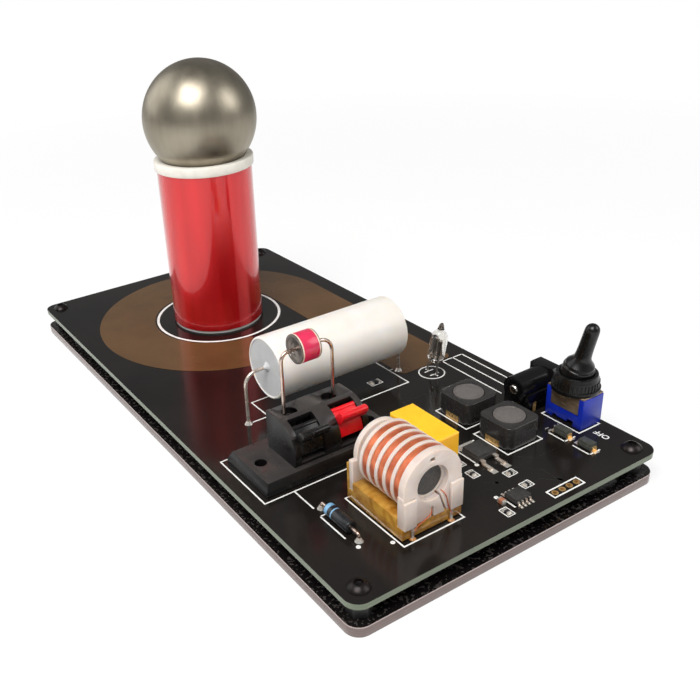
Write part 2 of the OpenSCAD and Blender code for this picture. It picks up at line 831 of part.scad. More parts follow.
module neon_glass() {
    color([0.85, 0.88, 0.9, 0.35])
    along_neon() {
        difference() {
            rotate_extrude() neon_outline(0);
            rotate_extrude() neon_outline(0.5);
            for (x = [-0.9, 0.9]) translate([x, 0, -1]) cylinder(r = neon_lead_r, h = 3);
        }
        translate([0, 0, neon_l - 0.3]) cylinder(r1 = 1.3, r2 = 0.7, h = 2.6);
        translate([0, 0, neon_l + 2.3]) sphere(0.7);
    }
}

// Two rods in the glass, each on a lead that goes down to its pad
module neon_electrodes() {
    foot_x = [for (i = [0, 1]) [(2 * i - 1) * 0.9 * cos(neon_lean), (1 - 2 * i) * 0.9 * sin(neon_lean)]];
    color([0.7, 0.68, 0.66])
    for (i = [0, 1]) {
        along_neon() translate([(2 * i - 1) * 0.9, 0, -0.15]) {
            cylinder(r = neon_lead_r, h = 2.6);
            translate([0, 0, 2.5]) cylinder(r = 0.55, h = 5.6);
        }
        pad = neon_pads[i];
        knee = 2.4;
        foot = [neon_at.x + foot_x[i].x - pad.x, neon_at.y - pad.y, neon_z + foot_x[i].y];
        on_board(pad) bar([0, 0, knee - 0.15], foot, neon_lead_r - 0.02);
        through_pin(pad, neon_lead_r, knee);
    }
}

// Barrel on a square base, with a front plate round its mouth
module jack_housing() {
    plate_l = 3.4;
    chamfer = 0.8;
    w = jack_size.x;
    barrel_r = 3.9;
    bore_l = 10;
    color([0.06, 0.06, 0.06])
    on_board(jack_at) difference() {
        union() {
            rotate([90, 0, 0]) linear_extrude(plate_l) polygon([
                    [-w / 2, 0], [w / 2, 0], [w / 2, jack_size.z - chamfer], [w / 2 - chamfer, jack_size.z],
                    [-w / 2 + chamfer, jack_size.z], [-w / 2, jack_size.z - chamfer]
                ]);
            translate([-w / 2, -jack_size.y + 1.2, 0]) cube([w, jack_size.y - 2, jack_z - 0.6]);
            translate([0, -1, jack_z]) rotate([90, 0, 0]) cylinder(r = barrel_r, h = jack_size.y - 1);
        }
        translate([0, 1, jack_z]) rotate([90, 0, 0]) cylinder(d = jack_bore_d, h = bore_l + 1);
        translate([0, 0.5 - bore_l, jack_z]) rotate([90, 0, 0])
            cylinder(d = jack_pin_d, h = jack_size.y - bore_l + 1);
        // slots for the contacts
        translate([-0.65, -jack_size.y + 0.5, -1]) cube([1.3, 1.1, jack_z + 1]);
        translate([-0.65, -8.4, -1]) cube([1.3, 1.5, jack_z - 1]);
        translate([w / 2 - 1.15, -11.15, -1]) cube([2, 1.5, 4]);
    }
}

// Centre pin with its riveted head at the rear
module jack_pin() {
    head_r = 1.5;
    color([0.85, 0.84, 0.82])
    on_board(jack_at) translate([0, -jack_size.y, jack_z]) rotate([-90, 0, 0]) {
        cylinder(d = jack_pin_d, h = jack_size.y - 2);
        translate([0, 0, jack_size.y - 2]) sphere(d = jack_pin_d);
        translate([0, 0, -0.5]) cylinder(r1 = head_r - 0.3, r2 = head_r, h = 0.5);
    }
}

// Tails of the three contacts, down through the board
module jack_contacts() {
    t = 0.5;
    color([0.8, 0.72, 0.5])
    {
        on_board([jack_at.x, jack_at.y - jack_size.y]) difference() {
            translate([-0.6, 0.55, 0]) cube([1.2, t, jack_z - 0.3]);
            translate([0, 3, jack_z]) rotate([90, 0, 0]) cylinder(d = jack_pin_d, h = 6);
        }
        on_board(jack_pins_at[1]) translate([-0.6, -t / 2, 0]) cube([1.2, t, 3]);
        on_board(jack_pins_at[2]) translate([-t, -0.6, 0]) cube([2 * t, 1.2, 3]);
        for (p = jack_pins_at) through_pin(p, jack_pin_r - 0.1, 0.5);
    }
}

// ---- Toggle switch ----

// Blue body with stepped feet at its open underside
module switch_body() {
    l = switch_size.x;
    w = switch_size.y;
    h = switch_size.z - 0.5;
    color([0.05, 0.14, 0.62])
    on_board(switch_at) difference() {
        slab([l, w, h]);
        slab([l - 6.4, w + 1, 1], -0.4);
        translate([-l / 2 + 3.2, 0, 0]) slab([1.6, w + 1, 1.4], -0.4);
        translate([l / 2 - 4, 0, 0]) slab([2.2, w + 1, 1.9], -0.4);
        for (x = [-4.7, 0, 4.7]) translate([x, 0, -1]) cylinder(r = switch_pin_r, h = 3);
        // recess that the bracket's arms lie in
        for (s = [-1, 1]) translate([0, s * w / 2, h - 2.7]) cube([9.7, 0.7, 5.6], center = true);
    }
}

// Folded metal bracket over the body, with a raised ring pressed in each arm
module switch_bracket() {
    t = 0.35;
    w = switch_size.y;
    h = switch_size.z;
    color([0.52, 0.46, 0.38])
    on_board(switch_at) difference() {
        union() {
            slab([switch_size.x - 0.3, w, 0.5], h - 0.5);
            for (s = [-1, 1]) translate([0, s * (w / 2 - t / 2), 0]) slab([9.5, t, 5.5], h - 5.6);
            translate([0, 0, h - 3]) rotate([90, 0, 0]) difference() {
                cylinder(r = 1.5, h = w + 0.4, center = true);
                cylinder(r = 1, h = w + 2, center = true);
                cylinder(r = 2, h = w - t, center = true);
            }
        }
        translate([0, 0, h - 1]) cylinder(d = 5.9, h = 2);
    }
}

module switch_bushing() {
    z0 = switch_size.z - 0.5;
    h = pivot_h + 1.3 - z0;
    color([0.7, 0.69, 0.66])
    on_board(switch_at) translate([0, 0, z0]) difference() {
        cylinder(r = bushing_r, h = h);
        translate([0, 0, 0.8]) cylinder(r = bushing_bore, h = h);
        translate([0, 0, h - 0.7]) cylinder(r1 = bushing_bore, r2 = bushing_bore + 0.5, h = 0.75);
        translate([0, 0, pivot_h - z0]) rotate([90, 0, 0])
            cylinder(r = pivot_pin_r + 0.05, h = 2 * bushing_r + 1, center = true);
    }
}

module switch_pins() {
    color([0.82, 0.8, 0.74])
    for (p = switch_pins_at) through_pin(p, switch_pin_r, 2);
}

// Ribbed rubber nut and its two steps, screwed down over the bushing
module boot_skirt() {
    z0 = switch_size.z;
    r = nut_d / 2;
    ribs = 36;
    pocket_r = 4.75;
    bore_r = bushing_r + 0.05;
    rim_z = pivot_h + 0.2;
    color([0.04, 0.04, 0.04])
    on_board(switch_at) {
        rotate_extrude($fn = 72) polygon([
            [bore_r, z0], [r + 0.3, z0], [r + 0.3, z0 + 1.1], [r - 0.3, z0 + 1.1], [r - 0.3, z0 + 3.3],
            [5.8, z0 + 4], [5.6, rim_z], [pocket_r, rim_z], [pocket_r, pivot_h - 2.1], [bore_r, pivot_h - 2.1]
        ]);
        for (i = [0:ribs - 1]) rotate([0, 0, (i + 0.5) * 360 / ribs])
            translate([r - 0.5, -0.25, z0 + 0.9]) cube([0.45, 0.5, 2.2]);
    }
}

// Places children with z along the lever from its pivot, at rest in the off position
module along_toggle() {
    on_board(switch_at) translate([0, 0, pivot_h]) rotate([0, throw, 0]) children();
}

// Moving part of the rubber boot: a stepped bell about the pivot and a sleeve with a domed tip
module boot_sleeve() {
    bell_r = 4.4;
    wall = 0.8;
    neck_r = 2.35;
    tip_r = 2;
    tip_z = boot_l - tip_r;
    color([0.04, 0.04, 0.04])
    along_toggle() difference() {
        union() {
            rotate_extrude() {
                intersection() {
                    circle(bell_r);
                    translate([0, -0.6]) square([bell_r, bell_r]);
                }
                polygon([
                    [0, 0.2], [4.3, 0.2], [4.3, 2.2], [3.95, 2.5], [3.95, 3.1], [3.5, 3.6],
                    [neck_r, 5.1], [tip_r, tip_z], [0, tip_z]
                ]);
            }
            translate([0, 0, tip_z]) sphere(tip_r);
        }
        sphere(bell_r - wall);
        translate([0, 0, -5]) cylinder(r = 1.35, h = boot_l + 5 - 2.6);
        translate([0, 0, -5]) cylinder(r = bell_r - wall, h = 5);
    }
}

// Metal bat that the boot covers, with its ball in the bushing and the pin that it swings on
module toggle_lever() {
    color([0.75, 0.74, 0.72])
    along_toggle() {
        sphere(pivot_ball_r);
        rotate([90, 0, 0]) cylinder(r = pivot_pin_r, h = 2 * bushing_r - 0.3, center = true);
        cylinder(r1 = 1, r2 = 1.3, h = boot_l - 4);
        translate([0, 0, boot_l - 4]) sphere(1.3);
    }
}

// ---- Small board parts ----

module transistor_body() {
    color([0.12, 0.12, 0.12])
    on_board(transistor_at) {
        slab([6.1, 6.6, 1.2], 0.25);
        translate([0, 0, 1.45]) slab([5.9, 6.4, 0.85]);
    }
}

// Heat tab on one side and two stepped legs on the other
module transistor_legs() {
    w = 1.1;
    color([0.82, 0.8, 0.76])
    on_board(transistor_at) {
        translate([-2.2, 0, 0]) slab([6, 5.4, 0.25]);
        for (y = [-2.28, 2.28]) translate([0, y - w / 2, 0]) {
            translate([3.05, 0, 0.75]) cube([1.2, w, 0.5]);
            translate([3.9, 0, 0]) cube([0.5, w, 1.25]);
            translate([4.2, 0, 0]) cube([2.8, w, 0.5]);
        }
    }
}

module driver_chip() {
    color([0.2, 0.19, 0.17])
    on_board(chip_at) difference() {
        slab([3.9, 4.9, 1.4], 0.15);
        translate([-1.2, -1.7, 1.4]) cylinder(r = 0.35, h = 1);
    }
}

module driver_chip_legs() {
    t = 0.25;
    w = 0.5;
    color([0.85, 0.84, 0.8])
    on_board(chip_at) for (s = [0, 1], y = [-1.5:1:1.5]) mirror([s, 0, 0]) translate([0, y * 1.27 - w / 2, 0]) {
        translate([1.95, 0, 0.6]) cube([0.5, w, t]);
        translate([2.2, 0, 0]) cube([t, w, 0.85]);
        translate([2.2, 0, 0]) cube([1, w, t]);
    }
}

module surface_diodes() {
    color([0.16, 0.17, 0.15])
    for (p = diodes_at) on_board(p) {
        slab([4.3, 2.6, 1], 0.3);
        slab([4.1, 2.4, 0.8], 1.3);
    }
}

module surface_diode_ends() {
    color([0.8, 0.7, 0.5])
    for (p = diodes_at, s = [0, 1]) on_board(p) mirror([s, 0, 0]) {
        translate([1.1, -0.75, 0]) cube([1.7, 1.5, 0.3]);
        translate([2.15, -0.75, 0]) cube([0.35, 1.5, 1.3]);
    }
}

module high_voltage_diode() {
    color([0.08, 0.08, 0.09])
    on_board(hv_diode_at) translate([-hv_l / 2, 0, hv_z]) rotate([0, 90, 0]) difference() {
        cylinder(r = hv_r, h = hv_l);
        for (z = [-1, hv_l - 1]) translate([0, 0, z]) cylinder(r = pin_r, h = 2);
    }
}

module high_voltage_diode_leads() {
    bend_r = 0.9;
    inner = hv_l / 2 - 1;
    reach = hv_diode_span / 2;
    color([0.88, 0.8, 0.74])
    {
        on_board(hv_diode_at) rotate([0, 0, -90]) for (s = [0, 1]) mirror([0, s, 0]) {
            translate([0, inner, hv_z]) rotate([-90, 0, 0]) cylinder(r = pin_r, h = reach - inner - bend_r);
            translate([0, reach - bend_r, hv_z]) bend(bend_r, pin_r);
        }
        for (p = hv_pads) through_pin(p, pin_r, hv_z - bend_r);
    }
}

// Middle block of a chip part, without its metal ends
module chip_middle(size, end) {
    slab([size.x - 2 * end, size.y, size.z]);
}

// Metal ends of a chip part
module chip_caps(size, end) {
    for (s = [0, 1]) mirror([s, 0, 0]) translate([size.x / 2 - end, -size.y / 2, 0]) cube([end, size.y, size.z]);
}

module chip_resistors() {
    color([0.09, 0.09, 0.1])
    {
        for (p = resistors_x) on_board(p) chip_middle(chip_size, chip_end);
        for (p = resistors_y) on_board(p) rotate([0, 0, 90]) chip_middle(chip_size, chip_end);
        on_board(large_resistor_at) rotate([0, 0, 90]) chip_middle(large_size, chip_end);
    }
}

module chip_ends() {
    color([0.88, 0.87, 0.84])
    {
        for (p = resistors_x) on_board(p) chip_caps(chip_size, chip_end);
        for (p = resistors_y) on_board(p) rotate([0, 0, 90]) chip_caps(chip_size, chip_end);
        on_board(large_resistor_at) rotate([0, 0, 90]) chip_caps(large_size, chip_end);
        on_board(tan_capacitor_at) chip_caps(tan_size, chip_end);
    }
}

module tan_capacitor() {
    color([0.68, 0.4, 0.28])
    on_board(tan_capacitor_at) chip_middle(tan_size, chip_end);
}

// Plated sleeves of the unused header
module header_sleeves() {
    rim = 0.08;
    color([0.8, 0.55, 0.3])
    for (p = header_holes_at) on_board(p) difference() {
        union() {
            translate([0, 0, -board_t]) cylinder(r = header_r, h = board_t);
            cylinder(r = 0.9, h = rim);
            translate([0, 0, -board_t - rim]) cylinder(r = 0.9, h = rim);
        }
        translate([0, 0, -board_t - 1]) cylinder(r = 0.5, h = board_t + 2);
    }
}

// Solder cones round each pin under the board, and round the leads that stand clear on top
module solder_joints() {
    color([0.8, 0.8, 0.8])
    {
        for (p = through_pins) on_board(p[0]) translate([0, 0, -board_t - 1.1]) difference() {
            cylinder(r1 = p[1] + 0.2, r2 = p[1] + 0.7, h = 1.1);
            translate([0, 0, -1]) cylinder(r = p[1], h = 4);
        }
        for (p = concat([for (q = tank_pads) [q, tank_lead_d / 2]], [for (q = hv_pads) [q, pin_r]]))
            on_board(p[0]) difference() {
                cylinder(r1 = p[1] + 0.7, r2 = p[1] + 0.15, h = 0.9);
                translate([0, 0, -1]) cylinder(r = p[1], h = 4);
            }
    }
}

base_plate();
base_screws();
standoffs();
board_screws();
circuit_board();
primary_loop();
coil_former();
secondary_winding();
top_collar();
discharge_ball();
tank_capacitor_wrap();
tank_capacitor_core();
tank_capacitor_leads();
terminal_block();
terminal_springs();
black_lever();
red_lever();
spark_gap_tube();
spark_gap_caps();
spark_gap_leads();
coil_bobbin();
coil_windings();
coil_core();
coil_resin();
coil_pins();
box_capacitor();
box_capacitor_pins();
inductor_shells();
inductor_tops();
inductor_terminals();
neon_glass();
neon_electrodes();
jack_housing();
jack_pin();
jack_contacts();
switch_body();
switch_bracket();
switch_bushing();
switch_pins();
boot_skirt();
boot_sleeve();
toggle_lever();
transistor_body();
transistor_legs();
driver_chip();
driver_chip_legs();
surface_diodes();
surface_diode_ends();
high_voltage_diode();
high_voltage_diode_leads();
chip_resistors();
chip_ends();
tan_capacitor();
header_sleeves();
solder_joints();
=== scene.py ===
"""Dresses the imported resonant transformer: finishes, softened edges, printed lines and small fittings."""

import logging
import math
from collections.abc import Callable, Mapping, Sequence
from dataclasses import dataclass
from enum import Enum

import bpy
from mathutils import Matrix, Vector


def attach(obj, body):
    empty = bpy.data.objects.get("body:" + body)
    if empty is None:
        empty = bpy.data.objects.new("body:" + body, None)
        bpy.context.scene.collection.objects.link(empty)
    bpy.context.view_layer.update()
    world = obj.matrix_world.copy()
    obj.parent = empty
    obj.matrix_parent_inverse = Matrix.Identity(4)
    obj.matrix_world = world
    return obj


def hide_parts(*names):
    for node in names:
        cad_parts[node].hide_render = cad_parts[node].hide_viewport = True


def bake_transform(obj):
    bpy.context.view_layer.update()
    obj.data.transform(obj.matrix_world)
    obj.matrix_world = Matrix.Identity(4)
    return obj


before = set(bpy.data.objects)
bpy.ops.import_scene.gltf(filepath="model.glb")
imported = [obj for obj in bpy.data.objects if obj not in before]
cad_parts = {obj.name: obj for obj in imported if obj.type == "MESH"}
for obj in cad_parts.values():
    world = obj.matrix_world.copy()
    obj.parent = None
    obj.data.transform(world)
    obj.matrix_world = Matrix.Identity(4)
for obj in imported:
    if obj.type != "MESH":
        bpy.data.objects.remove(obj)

log = logging.getLogger("transformer")

MM, PER_METRE = 0.001, 1000.0
BOARD_SIZE = (200.0, 100.0)
BOARD_TOP = 9.6
PREFIX = "finish_"  # keeps the finishes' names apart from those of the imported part's flat materials
WHITE = (1.0, 1.0, 1.0, 1.0)
LEVEL_FACE = 0.6  # least upward share of the normal of a face that counts as level
COAT_ROUGHNESS = 0.05
DEPTH_RADIUS = (1.0, 0.8, 0.6)
BEVEL_ANGLE, SMOOTH_ANGLE, FLAT_ANGLE = 35.0, 40.0, 0.4  # degrees
TINY_MM = 1e-4  # radius of a closed end before it is merged
WIRE_STEPS, WIRE_ROUNDING = 6, 3

Pair = tuple[float, float]
Triple = tuple[float, float, float]
Quad = tuple[float, float, float, float]
Colour = tuple[int, int, int]  # as it is seen on a screen, 0 to 255

GREY = (188, 188, 188)


def at(x: float, y: float, z: float = 0.0) -> Vector:
    """Gives a place on the board in the part's frame.

    Args:
        x: Millimetres from the board's left end.
        y: Millimetres from the board's front edge.
        z: Millimetres above the board's upper face.

    Returns:
        The same place in metres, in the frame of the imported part.
    """
    return Vector((x - BOARD_SIZE[0] / 2, y - BOARD_SIZE[1] / 2, z + BOARD_TOP)) * MM
def stand(x: float, y: float, z: float = 0.0, degrees: float = 0.0, axis: str = "Z") -> Matrix:
    """Gives the axis system that stands at a place on the board, turned about one of its axes."""
    return Matrix.Translation(at(x, y, z)) @ Matrix.Rotation(math.radians(degrees), 4, axis)

def tone(red: int, green: int, blue: int) -> Quad:
    """Turns a colour as it is seen on a screen into the linear colour that a shader takes.

    Args:
        red: Level from 0 to 255.
        green: Level from 0 to 255.
        blue: Level from 0 to 255.

    Returns:
        The linear colour, opaque.
    """

    def linear(level: int) -> float:
        """Undoes the screen's curve."""
        share = level / 255
        return share / 12.92 if share <= 0.04045 else ((share + 0.055) / 1.055) ** 2.4

    return (linear(red), linear(green), linear(blue), 1.0)


# ---- Shader arithmetic ----


def math_node(operation: str, swapped: bool = False) -> Callable[..., "Value"]:
    """Makes a method of Value.

    Args:
        operation: The operation of the Math node that the method adds.
        swapped: Whether the value comes after the method's other operands.

    Returns:
        The method.
    """

    def method(self: "Value", *others: "Value | float") -> "Value":
        """Joins a value and its operands, if any, in one Math node."""
        operands = (*others, self) if swapped else (self, *others)
        return self.graph.add("ShaderNodeMath", {"operation": operation}, dict(enumerate(operands)))

    return method


class Value:
    """An output of a shader node that can be used in a Python expression."""

    __add__ = __radd__ = math_node("ADD")
    __sub__ = math_node("SUBTRACT")
    __rsub__ = math_node("SUBTRACT", swapped=True)
    __mul__ = __rmul__ = math_node("MULTIPLY")
    __gt__ = math_node("GREATER_THAN")
    __lt__ = math_node("LESS_THAN")
    __abs__ = math_node("ABSOLUTE")
    sine = math_node("SINE")

    def __init__(self, graph: "Graph", socket: bpy.types.NodeSocket | None) -> None:
        """Keeps the socket and the graph that it belongs to."""
        self.graph = graph
        self.socket = socket

    def between(self, low: float, high: float) -> "Value":
        """One inside the two limits, and nought outside them."""
        return (self > low) * (self < high)


class Graph:
    """The node tree of a material or a world."""

    def __init__(self, owner: bpy.types.Material | bpy.types.World) -> None:
        """Starts the owner's node tree afresh."""
        owner.use_nodes = True
        self.tree = owner.node_tree
        self.tree.nodes.clear()

    def add(
        self,
        kind: str,
        settings: Mapping[str, object] | None = None,
        inputs: Mapping[int | str, object] | None = None,
        output: int | str = 0,
    ) -> Value:
        """Adds a node of any type.

        Args:
            kind: The node's type.
            settings: Its settings.
            inputs: Numbers, colours or values for its inputs.
            output: The output that is wanted.

        Returns:
            That output, with no socket where the node is the tree's own output.
        """
        node = self.tree.nodes.new(kind)
        for key, setting in (settings or {}).items():
            setattr(node, key, setting)
        for key, wanted in (inputs or {}).items():
            self.feed(node.inputs[key], wanted)
        return Value(self, node.outputs[output] if node.outputs else None)

    def feed(self, socket: bpy.types.NodeSocket, wanted: "Value | float | Sequence[float]") -> None:
        """Links a value to a socket, or sets the socket's own number or colour.

        Args:
            socket: The socket.
            wanted: What it takes.
        """
        if isinstance(wanted, Value):
            self.tree.links.new(wanted.socket, socket)
        else:
            socket.default_value = wanted
    def vector(self, operation: str, *operands: "Value | Sequence[float]", output: int | str = 0) -> Value:
        """Adds one Vector Math node on the operands."""
        return self.add("ShaderNodeVectorMath", {"operation": operation}, dict(enumerate(operands)), output)

    def ray(self, kind: str) -> Value:
        """One for light rays of a kind, and nought for others."""
        return self.add("ShaderNodeLightPath", output=kind)
    def place(self) -> Value:
        """Position on the part, in metres."""
        return self.add("ShaderNodeTexCoord", output="Object")

    def axis(self, name: str) -> Value:
        """Position along one axis, in millimetres from the part's origin."""
        return self.add("ShaderNodeSeparateXYZ", inputs={0: self.place()}, output=name) * PER_METRE

    def facing_up(self) -> Value:
        """One on level faces, and nought on upright ones."""
        normal = self.add("ShaderNodeNewGeometry", output="Normal")
        return abs(self.add("ShaderNodeSeparateXYZ", inputs={0: normal}, output="Z")) > LEVEL_FACE

    def noise(self, size_mm: float, detail: float = 3.0, stretch: Triple = (1.0, 1.0, 1.0)) -> Value:
        """Soft noise.

        Args:
            size_mm: Size of its largest patches.
            detail: Number of finer layers.
            stretch: How much longer a patch is along each axis.

        Returns:
            Levels around one half.
        """
        scale = [PER_METRE / size_mm / s for s in stretch]
        spot = self.add("ShaderNodeMapping", inputs={"Vector": self.place(), "Scale": scale})
        return self.add("ShaderNodeTexNoise", inputs={"Vector": spot, "Scale": 1.0, "Detail": detail})

    def mix(self, factor: "Value | float", first: "Value | Colour", second: "Value | Colour") -> Value:
        """Colour between two colours."""
        a, b = (c if isinstance(c, Value) else tone(*c) for c in (first, second))
        return self.add("ShaderNodeMix", {"data_type": "RGBA"}, {0: factor, 6: a, 7: b}, 2)

    def bump(self, height: Value, strength: float, distance_mm: float) -> Value:
        """Normal of a relief of that height."""
        return self.add(
            "ShaderNodeBump", inputs={"Height": height, "Strength": strength, "Distance": distance_mm * MM}
        )


# ---- Finishes ----


@dataclass(frozen=True)
class Finish:
    """A finish with blotches of a second colour, uneven gloss and a fine grain."""

    name: str
    colour: Colour
    tint: Colour
    roughness: float = 0.45
    blotch_mm: float = 6.0
    blotch: float = 0.5
    spread: float = 0.12
    grain_mm: float = 0.25
    grain: float = 0.15
    relief_mm: float = 0.02
    metallic: float = 0.0
    coat: float = 0.0
    clear: float = 0.0
    depth: float = 0.0
    ior: float = 1.5
    stretch: Triple = (1.0, 1.0, 1.0)
    blotch_from: float = 0.35
    blotch_gain: float = 3.0

    def material(self) -> bpy.types.Material:
        """Gives the finish's material, which is built when it is first asked for."""
        name = PREFIX + self.name
        made = bpy.data.materials.get(name)
        if made is not None:
            return made
        made = bpy.data.materials.new(name)
        graph = Graph(made)
        inputs = {
            "Base Color": self.surface_colour(graph),
            "Roughness": self.surface_roughness(graph),
            "Normal": self.surface_normal(graph),
            "Metallic": self.metallic,
            "Coat Weight": self.coat,
            "Coat Roughness": COAT_ROUGHNESS,
            "Transmission Weight": self.clear,
            "IOR": self.ior,
            "Subsurface Weight": 1.0 if self.depth else 0.0,
            "Subsurface Scale": self.depth * MM,
            "Subsurface Radius": DEPTH_RADIUS,
        }
        shader = graph.add("ShaderNodeBsdfPrincipled", inputs=inputs)
        graph.add("ShaderNodeOutputMaterial", inputs={"Surface": shader})
        return made

    def surface_colour(self, graph: Graph) -> Value:
        """The colour with its blotches."""
        blotches = graph.noise(self.blotch_mm, 4.0, self.stretch) - self.blotch_from
        return graph.mix(blotches * self.blotch_gain * self.blotch, self.colour, self.tint)

    def surface_roughness(self, graph: Graph) -> Value:
        """The roughness, uneven as if handled."""
        smears = graph.noise(self.blotch_mm * 0.6, 5.0, self.stretch) * self.spread * 2.0
        return smears + (self.roughness - self.spread)

    def surface_normal(self, graph: Graph) -> Value:
        """The fine grain of the surface."""
        return graph.bump(graph.noise(self.grain_mm, 2.0, self.stretch), self.grain, self.relief_mm)


@dataclass(frozen=True)
class EdgedFinish(Finish):
    """A finish with another colour on upright faces, such as sawn edges, than on level ones."""

    edge: Colour = GREY
    edge_tint: Colour = GREY
    rim: Colour = GREY
    rim_z: float = 1000.0
    layer_mm: float = 8.0
    layer_stretch: Triple = (3.0, 3.0, 0.03)
    layer_from: float = 0.3

    def surface_colour(self, graph: Graph) -> Value:
        """Level faces in the main colour, upright ones in streaked layers, and a rim along their top."""
        faces = super().surface_colour(graph)
        layers = graph.noise(self.layer_mm, 4.0, self.layer_stretch) - self.layer_from
        sides = graph.mix(layers * 2.0, self.edge, self.edge_tint)
        sides = graph.mix(graph.axis("Z") > self.rim_z, sides, self.rim)
        return graph.mix(graph.facing_up(), sides, faces)


@dataclass(frozen=True)
class SpeckledSheet(EdgedFinish):
    """A dark glossy sheet with pale specks inside it."""

    speck: Colour = GREY
    speck_mm: float = 0.6
    speck_from: float = 0.6
    speck_share: float = 0.7

    def surface_colour(self, graph: Graph) -> Value:
        """The sheet's colour with specks on its faces."""
        specks = (graph.noise(self.speck_mm, 1.0) > self.speck_from) * graph.facing_up()
        return graph.mix(specks * self.speck_share, super().surface_colour(graph), self.speck)


class Axis(Enum):
    """An axis of the part that a pattern runs along."""

    X = "X"
    Y = "Y"
    Z = "Z"


@dataclass(frozen=True)
class Wound(Finish):
    """Turns of fine enamelled wire, laid side by side along an axis."""

    along: Axis = Axis.Z
    pitch_mm: float = 0.22
    # share of painted shade laid into the colour between the turns
    shade: float = 0.25

    def turns(self, graph: Graph) -> Value:
        """Height of the wire, from 0 between two turns to 1 on top of one."""
        return (graph.axis(self.along.value) * (math.tau / self.pitch_mm)).sine() * 0.5 + 0.5

    def surface_colour(self, graph: Graph) -> Value:
        """Wire colour, with painted shade that darkens it between the turns."""
        return graph.mix((1.0 - self.turns(graph)) * self.shade, super().surface_colour(graph), self.tint)

    def surface_normal(self, graph: Graph) -> Value:
        """The turns as a fine relief."""
        return graph.bump(self.turns(graph), self.grain, self.relief_mm)


@dataclass(frozen=True)
class Banded(Finish):
    """A finish with bands of another colour across an axis, each from one millimetre mark to another."""

    along: Axis = Axis.X
    bands: tuple[Pair, ...] = ()
    band: Colour = GREY
    ragged: float = 0.0
    wear_mm: float = 1.2
    wear_from: float = 0.62

    def surface_colour(self, graph: Graph) -> Value:
        """The main colour with the bands laid over it."""
        spot = graph.axis(self.along.value)
        worn = 1.0 - (graph.noise(self.wear_mm, 3.0) > self.wear_from) * self.ragged
        colour = super().surface_colour(graph)
        for low, high in self.bands:
            colour = graph.mix(spot.between(low, high) * worn, colour, self.band)
        return colour


@dataclass(frozen=True)
class Ringed(Finish):
    """A turned metal face with fine rings round an axis."""

    centre: Triple = (0.0, 0.0, 0.0)
    along: Axis = Axis.Y
    ring_mm: float = 0.35

    def surface_normal(self, graph: Graph) -> Value:
        """Rings left by the turning tool."""
        spot = graph.vector("SUBTRACT", graph.place(), [c * MM for c in self.centre])
        keep = [0.0 if axis is self.along else 1.0 for axis in Axis]
        reach = graph.vector("LENGTH", graph.vector("MULTIPLY", spot, keep), output="Value")
        return graph.bump((reach * (PER_METRE * math.tau / self.ring_mm)).sine(), self.grain, self.relief_mm)


# ---- Modelling ----


